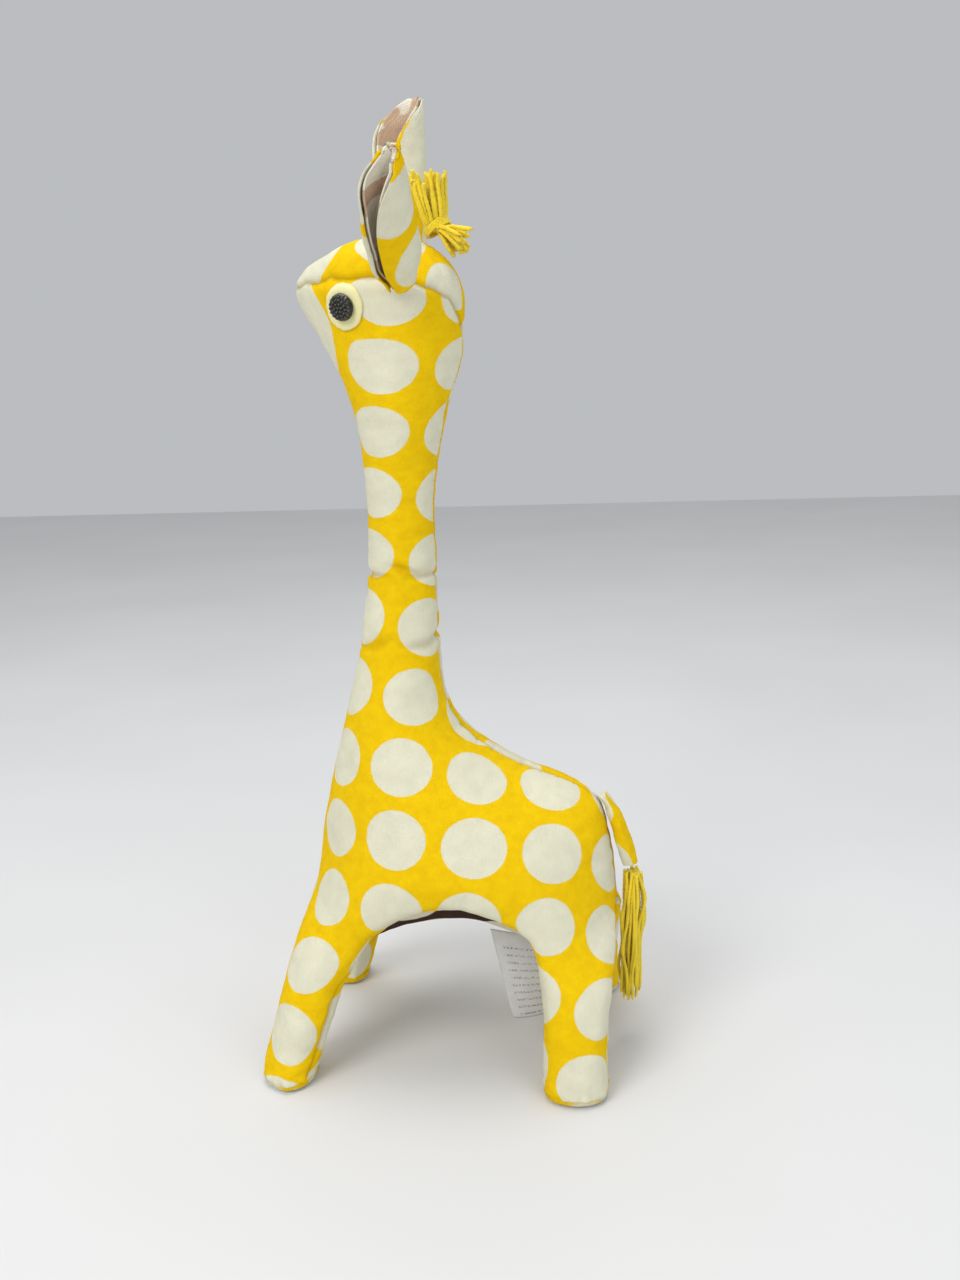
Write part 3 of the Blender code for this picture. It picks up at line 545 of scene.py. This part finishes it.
MATERIALS = {
    "yellow_dots": dotted_cotton("yellow_dots", YELLOW, YELLOW_DEEP, DOT_WHITE),
    "brown_dots": dotted_cotton("brown_dots", BROWN, tuple(0.7 * c for c in BROWN), (0.72, 0.68, 0.52)),
    "tan_dots": dotted_cotton("tan_dots", TAN, tuple(0.85 * c for c in TAN), (0.84, 0.80, 0.66)),
    "felt": felt_material(),
    "button": button_material(),
    "yarn": yarn_material(),
    "satin": satin_material(),
    "stuffing": fibre_material(),
}


def dress(obj, slot, body, *nodes):
    """Gives a piece its material, body and slot, and hides the CAD nodes it stands for."""
    obj.data.materials.clear()
    obj.data.materials.append(MATERIALS[slot])
    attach(obj, body)
    if nodes:
        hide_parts(*nodes)
    return obj


# ---------- the cover ----------

def panel_guess(name, points):
    x, y, z = points.T
    if name.startswith("side") or name.startswith("inner"):
        return np.column_stack([y - BREAST_Y, z])
    return np.column_stack([y - BREAST_Y, x - MIDDLE_X])


def cover_base():
    """All the cover's panels sewn together: points, faces, corner uvs and panel numbers."""
    points = []
    faces = []
    uvs = []
    indices = []
    border = []
    sheets = {}
    for name in COVER_PANELS:
        flat_points, triangles = outer_sheet(name, off_stuffing)
        if not name.startswith("sole"):
            flat_points = restored(flat_points, triangles)
        sheets[name] = (flat_points, triangles)
    feet = []
    for name in COVER_PANELS:
        sheet, triangles = sheets[name]
        if name.startswith("sole"):
            rim = rim_of(triangles)
            middle = sheet[list(rim)].mean(axis=0)
            order = [next(iter(rim))]
            while len(order) < len(rim):
                after = [j for j in rim[order[-1]] if j not in order]
                order.append(after[0])
            loop = sheet[order]
            inner = middle + 0.74 * (loop - middle)
            count = len(loop)
            sheet = np.concatenate([loop, inner, [middle]])
            faces_here = []
            for k in range(count):
                after = (k + 1) % count
                faces_here.append((k, after, count + after, count + k))
                faces_here.append((count + k, count + after, 2 * count))
            normal = np.cross(loop[1] - loop[0], middle - loop[0])
            if normal[2] > 0:
                faces_here = [f[::-1] for f in faces_here]
            flat = sheet[:, :2] - middle[:2]
            rim_here = range(count)
            feet.append((name, len(points), count))
        else:
            faces_here = triangles
            flat = flattened(sheet, triangles, panel_guess(name, sheet))
            rim_here = rim_of(triangles)
        flat = placed_on_cloth(name, flat)
        start = len(points)
        points.extend(sheet)
        faces.extend(tuple(start + i for i in f) for f in faces_here)
        for f in faces_here:
            uvs.extend(flat[i] for i in f)
        indices.extend([COVER_PANELS.index(name)] * len(faces_here))
        border.append([start + i for i in rim_here])
    points = np.array(points)
    tree = kdtree.KDTree(len(points))
    panel_rim = [i for part, name in zip(border, COVER_PANELS) if not name.startswith("sole") for i in part]
    low_rim = [i for i in panel_rim if points[i][2] < 3.2 * MM]
    for name, start, count in feet:
        for i in range(start, start + count):
            flat_gap = np.linalg.norm(points[low_rim][:, :2] - points[i][:2], axis=1)
            points[i] = points[low_rim[int(np.argmin(flat_gap))]]
    every = [i for part in border for i in part]
    for i in every:
        tree.insert(points[i], i)
    tree.balance()
    group = {}
    for i in every:
        if i in group:
            continue
        members = [n[1] for n in tree.find_range(points[i], 1.4 * MM) if n[1] not in group]
        for member in members:
            group[member] = i
    for i in set(group.values()):
        members = [m for m, g in group.items() if g == i]
        points[i] = points[members].mean(axis=0)
    faces = [tuple(group.get(i, i) for i in f) for f in faces]
    used = sorted({i for f in faces for i in f})
    number = {old: new for new, old in enumerate(used)}
    faces = [tuple(number[i] for i in f) for f in faces]
    return points[used], faces, np.array(uvs), indices


def seam_vertices(quads, indices):
    """Vertices on edges between two panels."""
    ends = np.concatenate([quads[:, [k, (k + 1) % 4]] for k in range(4)])
    ends.sort(axis=1)
    owner = np.tile(indices, 4)
    order = np.lexsort((ends[:, 1], ends[:, 0]))
    ends = ends[order]
    owner = owner[order]
    same = (ends[1:] == ends[:-1]).all(axis=1)
    differ = same & (owner[1:] != owner[:-1])
    return np.unique(ends[1:][differ])


def sewn_surface(points, quads, indices):
    """Seam grooves, puckers beside them, neck creases, gathered feet and soft lumps, and the painted shade
    along the seams and in the creases.
    """
    seam = seam_vertices(quads, indices)
    points = twisted_legs(points)
    away = distances_to(points, points[seam])
    near_crown = smoothstep((points[:, 2] - 226 * MM) / (8 * MM)) * smoothstep((7 * MM - away) / (7 * MM))
    points = relaxed(points, quads, near_crown, 24)
    normals = vertex_normals(points, quads)
    soles = np.array(["sole" in COVER_PANELS[i] for i in indices])
    groove = -0.75 * MM * np.exp(-((away / (0.85 * MM)) ** 2))
    pucker = 0.42 * MM * noise_at(points, 240.0, 1) * np.exp(-away / (4.0 * MM))
    lumps = 0.55 * MM * noise_at(points, 55.0, 2) + 0.22 * MM * noise_at(points, 130.0, 3)
    height = points[:, 2]
    low = np.exp(-np.clip(height - 1.5 * MM, 0, None) / (4.0 * MM))
    on_sole = np.zeros(len(points), bool)
    on_sole[np.unique(quads[soles])] = True
    lumps *= np.clip(height / (6 * MM), 0, 1)
    pucker *= np.where(on_sole, 0.3, 1.0)
    gather = np.where(on_sole, 0.0, 0.9 * MM) * noise_at(points * np.array([1, 1, 0.15]), 420.0, 4) * low
    crease = np.zeros(len(points))
    for level, depth, width in NECK_CREASES:
        wander = 0.0012 * np.sin(points[:, 0] * 260 + level * 900) + 0.0010 * np.sin(points[:, 1] * 330)
        gap = (height - level - wander) / (width * MM)
        crease -= depth * MM * np.exp(-gap**2) * (0.55 + 0.45 * np.sin(points[:, 1] * 400 + level * 3000))
    groove *= np.where(height < 4 * MM, 0.3, 1.0)
    moved = points + normals * (groove + pucker + lumps + gather + crease)[:, None]
    rim = np.zeros(len(points), bool)
    rim[seam] = on_sole[seam]
    lift = SOLE_RIM_LIFT * (1 + 0.5 * noise_at(points, 260.0, 6))
    moved[:, 2] += np.where(rim, lift, 0.0) + np.where(on_sole, 0.0, 0.8) * lift * low
    moved[:, 2] = np.maximum(moved[:, 2], 0.00005)
    # Painted shade: the cloth is darkened along the seams and in the neck's creases, where shade falls, and
    # less so on the soles
    shade = 0.42 * np.exp(-((away / (0.7 * MM)) ** 2)) * np.where(height < 4 * MM, 0.2, 1.0)
    shade += CREASE_SHADE * np.clip(-crease / MM, 0, 1)
    return moved, shade, away


def sharpen_soles(mesh):
    """Keeps the turn from leg to sole tight, where the sole is sewn in."""
    shape = bmesh.new()
    shape.from_mesh(mesh)
    crease = shape.edges.layers.float.new("crease_edge")
    for edge in shape.edges:
        names = {COVER_PANELS[f.material_index] for f in edge.link_faces}
        if len(names) > 1 and any(name.startswith("sole") for name in names):
            edge[crease] = SOLE_CREASE
    shape.to_mesh(mesh)
    shape.free()


def smoothstep(value):
    value = np.clip(value, 0, 1)
    return value * value * (3 - 2 * value)


def twisted_legs(points):
    """Turns the front legs about their own length, so that the hind seam shows on the outside."""
    moved = points.copy()
    for sign in (1, -1):
        x = (points[:, 0] - MIDDLE_X) * sign
        y = points[:, 1] - BREAST_Y
        z = points[:, 2]
        share = smoothstep((46 * MM - z) / (22 * MM)) * (x > 8 * MM) * (y < -33 * MM)
        middle_x = np.interp(z, [0, 45 * MM], [32.6 * MM, 24 * MM])
        middle_y = np.interp(z, [0, 45 * MM], [-60.7 * MM, -47 * MM])
        angle = -FRONT_LEG_TWIST * share
        dx = x - middle_x
        dy = y - middle_y
        new_x = middle_x + dx * np.cos(angle) - dy * np.sin(angle)
        new_y = middle_y + dx * np.sin(angle) + dy * np.cos(angle)
        new_x = new_x + HEEL_FLARE * smoothstep((14 * MM - z) / (14 * MM)) * np.clip(dy / (9 * MM), 0, 1)
        moved[:, 0] = np.where(share > 0, MIDDLE_X + sign * new_x, moved[:, 0])
        moved[:, 1] = np.where(share > 0, BREAST_Y + new_y, moved[:, 1])
    return moved


def relaxed(points, quads, share, rounds):
    """Smooths the points by their neighbours, each by its own share."""
    pairs = np.concatenate([quads[:, [k, (k + 1) % 4]] for k in range(4)])
    pairs = np.unique(np.sort(pairs, axis=1), axis=0)
    both = np.concatenate([pairs, pairs[:, ::-1]])
    count = np.bincount(both[:, 0], minlength=len(points))[:, None]
    moved = points.copy()
    for _ in range(rounds):
        total = np.column_stack([
            np.bincount(both[:, 0], weights=moved[both[:, 1], k], minlength=len(points)) for k in range(3)
        ])
        moved += share[:, None] * 0.6 * (total / count - moved)
    return moved


def build_cover():
    points, faces, uvs, indices = cover_base()
    base = new_object("cover_base", points, faces, uvs, indices)
    for _ in COVER_PANELS:
        base.data.materials.append(None)
    sharpen_soles(base.data)
    points, _, quads, uvs, indices = subdivided(base, 3)
    points, shade, _ = sewn_surface(points, quads, indices)
    for number, name in enumerate(COVER_PANELS):
        chosen = indices == number
        part = quads[chosen]
        used, renumbered = np.unique(part, return_inverse=True)
        renumbered = renumbered.reshape(-1, 4)
        piece = new_object(name + "_cotton", points[used], renumbered, uvs[chosen].reshape(-1, 2))
        attribute = piece.data.attributes.new("seam_shade", "FLOAT", "POINT")
        attribute.data.foreach_set("value", shade[used].astype(np.float32))
        dress(piece, GROUND.get(name, "yellow_dots"), "body", name)
    return points, quads


COVER_POINTS, COVER_QUADS = build_cover()
COVER_TREE = BVHTree.FromPolygons(
    [Vector(p) for p in COVER_POINTS], [tuple(int(i) for i in q) for q in COVER_QUADS]
)


# ---------- stuffing ----------

def build_stuffing():
    base = new_object("stuffing_base", *STUFFING)
    points, normals, quads, _, _ = subdivided(base, 1)
    points = points - normals * 1.2 * MM
    piece = new_object("stuffing_fibre", points, quads)
    dress(piece, "stuffing", "body", "stuffing")


build_stuffing()


# ---------- ears ----------

def build_ear(side):
    body = f"{side}_ear"
    layers = (("outer", "yellow_dots", EAR_PRINT[side]), ("lining", "tan_dots", LINING_PRINT[side]))
    for layer, slot, shift in layers:
        name = f"ear_{layer}_{side}"
        whole, _ = mesh_arrays(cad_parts[name].data)
        centre = whole.mean(axis=0)
        _, _, axes = np.linalg.svd(whole - centre)
        axis = axes[0] * np.sign(axes[0][2])
        rest = np.cross(axis, np.array([0, 1.0, 0]))
        rest /= np.linalg.norm(rest)
        third = np.cross(rest, axis)

        def spread(point):
            off = point - centre
            return float(np.linalg.norm(off - (off @ axis) * axis))

        sheet, triangles = outer_sheet(name, spread)
        off = sheet - centre
        angle = np.arctan2(off @ rest, off @ third)
        guess = np.column_stack([7 * MM * angle, off @ axis])
        flat = flattened(sheet, triangles, guess)
        flat = flat + np.array(shift) * MM
        uvs = [flat[i] for t in triangles for i in t]
        base = new_object(name + "_base", sheet, triangles, uvs)
        points, _, quads, uvs, _ = subdivided(base, 3)
        normals = vertex_normals(points, quads)
        lumps = 0.5 * MM * noise_at(points, 120.0, 7) + 0.2 * MM * noise_at(points, 320.0, 8)
        points = points + normals * (lumps * 0.8)[:, None]
        piece = new_object(name + "_cotton", points, quads, uvs.reshape(-1, 2))
        shell = piece.modifiers.new("cloth", "SOLIDIFY")
        shell.thickness = 0.6 * MM
        shell.offset = -1
        dress(piece, slot, body, name)


build_ear("left")
build_ear("right")


# ---------- eyes ----------

def build_eye(side, sign):
    low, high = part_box(f"eye_felt_{side}")
    middle = (low + high) / 2
    half_y = 0.92 * (high.y - low.y) / 2
    half_z = 0.92 * (high.z - low.z) / 2
    middle.z += 0.8 * MM

    def on_cover(y, z):
        hit = COVER_TREE.ray_cast(Vector((sign * 0.09 + MIDDLE_X, y, z)), Vector((-sign, 0, 0)))
        return hit[0], hit[1]

    rings = 12
    spokes = 64
    centre_hit, _ = on_cover(middle.y, middle.z)
    average = Vector()
    for k in range(FACING_SAMPLES):
        angle = 2 * math.pi * k / FACING_SAMPLES
        y = middle.y + FACING_REACH * half_y * math.cos(angle)
        z = middle.z + FACING_REACH * half_z * math.sin(angle)
        average += on_cover(y, z)[1]
    average.normalize()
    points = []
    for level in (0.1 * MM, 0.95 * MM):
        for ring in range(1, rings + 1):
            share = ring / rings
            edge = 0.35 * MM * max(0.0, (share - 0.85) / 0.15) ** 2
            for k in range(spokes):
                angle = 2 * math.pi * k / spokes
                ragged = 1 + 0.012 * math.sin(7 * angle + 1) + 0.008 * math.sin(17 * angle)
                y = middle.y + half_y * share * ragged * math.cos(angle)
                z = middle.z + half_z * share * ragged * math.sin(angle)
                hit, _ = on_cover(y, z)
                lift = level - (edge if level > 0.5 * MM else -edge * 0.3)
                points.append(hit + average * lift)
        points.append(centre_hit + average * level)
    faces = []
    layer = rings * spokes + 1
    for side_number in (0, 1):
        start = side_number * layer
        for k in range(spokes):
            after = (k + 1) % spokes
            faces.append((start + layer - 1, start + k, start + after))
            for ring in range(rings - 1):
                a = start + ring * spokes
                b = a + spokes
                faces.append((a + k, b + k, b + after, a + after))
    outer = (rings - 1) * spokes
    for k in range(spokes):
        after = (k + 1) % spokes
        faces.append((outer + k, layer + outer + k, layer + outer + after, outer + after))
    piece = new_object(f"eye_felt_disc_{side}", points, faces)
    shape = bmesh.new()
    shape.from_mesh(piece.data)
    bmesh.ops.recalc_face_normals(shape, faces=shape.faces)
    shape.to_mesh(piece.data)
    shape.free()
    dress(piece, "felt", "body", f"eye_felt_{side}")
    build_button(side, centre_hit + average * 1.05 * MM, average)


def build_button(side, place, normal):
    """A domed button of knots: one in the middle and rings of them round it."""
    low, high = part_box(f"eye_button_{side}")
    radius = (high.z - low.z) / 2
    height = 2.5 * MM
    knots = [(0.0, 0.0)]
    for ring, count in ((0.30, 6), (0.58, 12), (0.84, 18)):
        for k in range(count):
            angle = 2 * math.pi * (k + 0.5 * (count % 4 == 0)) / count
            knots.append((ring * math.cos(angle), ring * math.sin(angle)))
    knots = np.array(knots)
    rings = 26
    spokes = 96
    points = [(0.0, 0.0, height)]
    for ring in range(1, rings + 1):
        share = ring / rings
        for k in range(spokes):
            angle = 2 * math.pi * k / spokes
            x = share * math.cos(angle)
            y = share * math.sin(angle)
            gap = np.sqrt(((knots - (x, y)) ** 2).sum(axis=1)).min()
            knob = 0.62 * MM * math.sqrt(max(0.0, 1 - (gap / 0.135) ** 2))
            z = 0.6 * MM + (height - 0.9 * MM) * math.sqrt(max(0.0, 1 - share**2.6)) + knob
            points.append((radius * BUTTON_FILL * x, radius * BUTTON_FILL * y, z))
    base = len(points)
    for k in range(spokes):
        angle = 2 * math.pi * k / spokes
        points.append((radius * 0.9 * math.cos(angle), radius * 0.9 * math.sin(angle), 0.0))
    points.append((0.0, 0.0, 0.0))
    faces = []
    for k in range(spokes):
        after = (k + 1) % spokes
        faces.append((0, 1 + k, 1 + after))
        for ring in range(rings - 1):
            a = 1 + ring * spokes
            b = a + spokes
            faces.append((a + k, b + k, b + after, a + after))
        rim = 1 + (rings - 1) * spokes
        faces.append((rim + k, base + k, base + after, rim + after))
        faces.append((base + k, base + spokes, base + after))
    piece = new_object(f"eye_button_knotted_{side}", points, faces)
    # Painted highlight: each point's share of the pale colour, 1 at a knot's top and fading to 0 further out
    highlight_shares = []
    for point in points:
        off = knots - np.array(point[:2]) / (radius * BUTTON_FILL)
        highlight_shares.append(max(0.0, 1 - np.hypot(*off.T).min() / KNOT_HIGHLIGHT_REACH))
    knot_highlight_attribute = piece.data.attributes.new("knot_top_highlight", "FLOAT", "POINT")
    knot_highlight_attribute.data.foreach_set("value", np.array(highlight_shares, np.float32))
    turn = normal.to_track_quat("Z", "Y").to_matrix().to_4x4()
    piece.data.transform(Matrix.Translation(place) @ turn)
    dress(piece, "button", "body", f"eye_button_{side}")


build_eye("left", 1)
build_eye("right", -1)


# ---------- yarn ----------

GOLDEN_ANGLE = math.pi * (3 - math.sqrt(5))
TIE_TURNS = 3.5
TIE_STEPS = 56
TIE_TILT = math.radians(33)
TIE_HEIGHT = 2.2 * MM


def smooth_path(controls, pitch):
    """Points of a smooth curve through the controls, about a pitch apart."""
    controls = np.array(controls, float)
    padded = np.concatenate([[2 * controls[0] - controls[1]], controls, [2 * controls[-1] - controls[-2]]])
    path = []
    for k in range(len(controls) - 1):
        p0, p1, p2, p3 = padded[k : k + 4]
        steps = max(1, round(np.linalg.norm(p2 - p1) / pitch))
        for step in range(steps):
            t = step / steps
            curve = 2 * p1 + (p2 - p0) * t + (2 * p0 - 5 * p1 + 4 * p2 - p3) * t**2
            path.append((curve + (3 * p1 - p0 - 3 * p2 + p3) * t**3) / 2)
    path.append(controls[-1])
    return np.array(path)


def yarn_mesh(name, strands, radius, pitch=0.55 * MM, sides=8):
    """Two-ply twisted strands as one mesh; each strand is a list of control points."""
    points = []
    faces = []
    for number, controls in enumerate(strands):
        path = smooth_path(controls, pitch)
        ahead = np.gradient(path, axis=0)
        ahead /= np.linalg.norm(ahead, axis=1, keepdims=True)
        side = np.cross(ahead[0], (0.3, 0.9, 0.2))
        side /= np.linalg.norm(side)
        start = len(points)
        for i, place in enumerate(path):
            side = side - (side @ ahead[i]) * ahead[i]
            side /= np.linalg.norm(side)
            other = np.cross(ahead[i], side)
            twist = i * pitch / (1.5 * MM) * math.pi + number
            fray = 1.0 if i < len(path) - 3 else 1.0 - 0.25 * (i - len(path) + 4) / 3
            for k in range(sides):
                angle = 2 * math.pi * k / sides
                reach = radius * fray * (0.70 + 0.34 * abs(math.cos(angle - twist)))
                points.append(place + reach * (math.cos(angle) * side + math.sin(angle) * other))
        rows = len(path)
        for i in range(rows - 1):
            a = start + i * sides
            b = a + sides
            for k in range(sides):
                after = (k + 1) % sides
                faces.append((a + k, a + after, b + after, b + k))
        faces.append(tuple(start + k for k in range(sides))[::-1])
        faces.append(tuple(start + (rows - 1) * sides + k for k in range(sides)))
    return new_object(name, points, faces)


def build_tassel():
    low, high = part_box("tail_tassel")
    length = high.z - low.z
    cad, _ = mesh_arrays(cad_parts["tail_tassel"].data)
    strands = []
    rng = np.random.default_rng(11)
    count = 34
    for k in range(count):
        ring = math.sqrt((k + 0.5) / count)
        angle = k * GOLDEN_ANGLE
        x_share = ring * math.cos(angle)
        y_share = ring * math.sin(angle)
        reach = length * (1.0 - 0.12 * rng.random())
        wave = rng.normal(0, 0.5, (6, 2)) * MM
        controls = []
        for row in range(6):
            t = row / 5
            z = high.z - reach * t
            level = cad[np.abs(cad[:, 2] - z) < 4 * MM]
            mid = (level.min(axis=0) + level.max(axis=0)) / 2
            half = (level.max(axis=0) - level.min(axis=0)) / 2 - 0.6 * MM
            x = mid[0] + half[0] * x_share + wave[row, 0]
            y = mid[1] + half[1] * y_share + wave[row, 1]
            controls.append((x, y, z))
        strands.append(controls)
    piece = yarn_mesh("tail_tassel_yarn", strands, 0.55 * MM)
    dress(piece, "yarn", "tassel", "tail_tassel")


build_tassel()


def build_tuft():
    """A bunch of yarn tied at the waist: loose ends stand up in front and fall back behind."""
    _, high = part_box("mane_tuft")
    waist_low, waist_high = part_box("mane_binding")
    waist = (waist_low + waist_high) / 2 - Vector((0, 0, 1.6 * MM))
    rng = np.random.default_rng(5)
    strands = []
    count = 40
    for k in range(count):
        angle = k * GOLDEN_ANGLE
        ring = math.sqrt((k + 0.5) / count)
        x = 3.4 * MM * ring * math.cos(angle)
        y = 2.9 * MM * ring * math.sin(angle)
        fan_x = 1.75 * x + rng.normal(0, 0.5) * MM
        top = high.z - (0.5 + 4.5 * rng.random()) * MM
        lean = -1.8 * MM + 1.75 * y + rng.normal(0, 0.7) * MM
        curl = rng.normal(0, 0.9, 2) * MM
        up = [
            (waist.x + fan_x + curl[0], waist.y + lean + curl[1], top),
            (waist.x + fan_x, waist.y + lean, top - 2.2 * MM),
            (waist.x + 0.62 * (x + fan_x), waist.y + 0.55 * (lean + y), waist.z + 0.45 * (top - waist.z)),
            (waist.x + x, waist.y + y, waist.z),
        ]
        aim = math.radians(-62 + 50 * rng.random())
        reach = (8.2 + 2.6 * rng.random()) * MM
        away_y = reach * math.cos(aim)
        away_z = reach * math.sin(aim)
        fall = [
            (waist.x + 1.5 * x, waist.y + 0.8 * y + 0.42 * away_y, waist.z + 0.3 * away_z + 0.2 * MM),
            (waist.x + 2.2 * x, waist.y + 0.5 * y + away_y, waist.z + away_z + 0.4 * y),
        ]
        strands.append(up + fall)
    piece = yarn_mesh("mane_tuft_yarn", strands, 0.62 * MM)
    dress(piece, "yarn", "body", "mane_tuft")
    wrap = []
    tilt = Matrix.Rotation(TIE_TILT, 4, "X")
    for k in range(TIE_STEPS + 1):
        angle = 2 * math.pi * TIE_TURNS * k / TIE_STEPS
        rise = (k / TIE_STEPS - 0.5) * TIE_HEIGHT
        local = Vector((4.3 * MM * math.cos(angle), 3.8 * MM * math.sin(angle), rise))
        wrap.append(tuple(tilt @ local + waist))
    band = yarn_mesh("mane_binding_yarn", [wrap], 0.5 * MM)
    dress(band, "yarn", "body", "mane_binding")


build_tuft()


# ---------- tail ----------

def build_tail():
    points, triangles = mesh_arrays(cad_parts["tail_strip"].data)
    order = np.argsort(points[:, 2])
    bins = np.array_split(order, 8)
    spine = np.array([points[b].mean(axis=0) for b in bins])[::-1]
    low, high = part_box("tail_strip")
    base = new_object("tail_base", points, triangles)
    fine, _, quads, _, _ = subdivided(base, 3)
    normals = vertex_normals(fine, quads)
    fine = fine + normals * (0.35 * MM * noise_at(fine, 260.0, 12))[:, None]
    mid_y = np.interp(-fine[:, 2], -spine[:, 2], spine[:, 1])
    around = np.arctan2((fine[:, 1] - mid_y) * 2.0, fine[:, 0] - (low.x + high.x) / 2)
    flat = np.column_stack([around * 4.2 * MM, fine[:, 2] - low.z])
    inward = np.clip((mid_y - fine[:, 1]) / (1.5 * MM), 0, 1)
    fine[:, 1] -= 1.1 * MM * inward
    uvs = flat[quads] + np.array(TAIL_PRINT) * MM
    span = uvs[:, :, 0].max(axis=1) - uvs[:, :, 0].min(axis=1)
    wraps = span > 10 * MM
    for row in np.nonzero(wraps)[0]:
        values = uvs[row, :, 0]
        uvs[row, :, 0] = np.where(values < values.max() - 10 * MM, values + 2 * math.pi * 4.2 * MM, values)
    piece = new_object("tail_strip_cotton", fine, quads, uvs.reshape(-1, 2))
    dress(piece, "yellow_dots", "tail", "tail_strip")


build_tail()


# ---------- label ----------

def build_label():
    points, _ = mesh_arrays(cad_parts["care_label"].data)
    low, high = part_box("care_label")
    x = (low.x + high.x) / 2
    near = points[points[:, 0] > x]
    top_front = near[np.argmin(near[:, 1] - 0.2 * near[:, 2])]
    lowest = near[np.argmin(near[:, 2])]
    rear_low = near[np.argmax(near[:, 1])]
    top_rear = [p for p in near if not any(np.allclose(p, q) for q in (top_front, lowest, rear_low))][0]
    across = 26
    down = 40
    width = np.linalg.norm(rear_low - lowest)
    length = np.linalg.norm(lowest - top_front)
    sheet = []
    flat = []
    for j in range(down + 1):
        v = j / down
        for i in range(across + 1):
            u = i / across
            upper = top_front + (top_rear - top_front) * u
            lower = lowest + (rear_low - lowest) * u
            corner = 1.6 * MM * (max(0.0, u - 0.9) + max(0.0, 0.1 - u)) * 10 * max(0.0, v - 0.95) * 20
            place = upper + (lower - upper) * v
            curl = 0.9 * MM * math.sin(3.0 * v + 1.5 * u) * v + 0.5 * MM * math.sin(5 * u) * v
            sheet.append((x + curl, place[1], place[2] + 0.3 * corner))
            flat.append((u * width, (1 - v) * length))
    faces = []
    for j in range(down):
        for i in range(across):
            a = j * (across + 1) + i
            faces.append((a, a + 1, a + across + 2, a + across + 1))
    uvs = [flat[i] for f in faces for i in f]
    piece = new_object("care_label_satin", sheet, faces, uvs)
    shell = piece.modifiers.new("cloth", "SOLIDIFY")
    shell.thickness = 0.25 * MM
    shell.offset = 0
    dress(piece, "satin", "label", "care_label")


build_label()


# ---------- stage, light and camera ----------

def build_stage():
    size = 1.6
    floor = new_object(
        "floor", [(-size, -size, 0), (size, -size, 0), (size, size, 0), (-size, size, 0)], [(0, 1, 2, 3)]
    )
    n = Nodes("floor_paper")
    tone = n.noise(n.object(), 6.0, 2.0)
    paper = n.mix(n.ramp(tone, 0.3, 0.7), (0.70, 0.70, 0.70), (0.73, 0.73, 0.73))
    n.link(paper, n.shader.inputs["Base Color"])
    n.shader.inputs["Roughness"].default_value = 0.75
    floor.data.materials.append(n.material)


def add_light(name, place, aim, size, power, colour):
    lamp = bpy.data.lights.new(name, "AREA")
    lamp.shape = "DISK"
    lamp.size = size
    lamp.energy = power
    lamp.color = colour
    made = bpy.data.objects.new(name, lamp)
    bpy.context.scene.collection.objects.link(made)
    made.location = place
    made.rotation_euler = (Vector(aim) - Vector(place)).to_track_quat("-Z", "Y").to_euler()


def build_light():
    world = bpy.data.worlds.new("studio")
    bpy.context.scene.world = world
    world.use_nodes = True
    back = world.node_tree.nodes["Background"]
    back.inputs["Color"].default_value = (0.80, 0.82, 0.85, 1.0)
    back.inputs["Strength"].default_value = 0.62
    aim = (MIDDLE_X, 0.0, 0.15)
    add_light("key", (0.75, -0.45, 0.85), aim, 0.6, 5.9, (1.0, 0.98, 0.95))
    add_light("fill", (0.8, 0.75, 0.45), aim, 0.8, 3.0, (0.96, 0.98, 1.0))
    add_light("top", (-0.1, 0.0, 1.1), aim, 0.7, 4.6, (1.0, 1.0, 1.0))


CAMERA_DISTANCE = 0.366
CAMERA_HEIGHT = 0.2165
CAMERA_YAW = math.radians(9.8)
CAMERA_PITCH = math.radians(12.6)
CAMERA_ROLL = math.radians(-2.4)
FOCAL_SHARE = 1200 / 1280


def build_camera():
    yaw, pitch, roll = CAMERA_YAW, CAMERA_PITCH, CAMERA_ROLL
    forward = Vector((-math.cos(yaw) * math.cos(pitch), -math.sin(yaw) * math.cos(pitch), -math.sin(pitch)))
    level = forward.cross(Vector((0, 0, 1))).normalized()
    upright = level.cross(forward)
    right = math.cos(roll) * level + math.sin(roll) * upright
    up = -math.sin(roll) * level + math.cos(roll) * upright
    lens = bpy.data.cameras.new("camera")
    lens.sensor_width = 36.0
    lens.lens = 36.0 * FOCAL_SHARE
    lens.clip_start = 0.01
    camera = bpy.data.objects.new("camera", lens)
    bpy.context.scene.collection.objects.link(camera)
    place = Vector((CAMERA_DISTANCE * math.cos(yaw), CAMERA_DISTANCE * math.sin(yaw), CAMERA_HEIGHT))
    place += Vector((MIDDLE_X, BREAST_Y, 0))
    turn = Matrix((right, up, -forward)).transposed()
    camera.matrix_world = Matrix.Translation(place) @ turn.to_4x4()
    bpy.context.scene.camera = camera


build_stage()
build_light()
build_camera()
bpy.context.scene.view_settings.view_transform = "Standard"
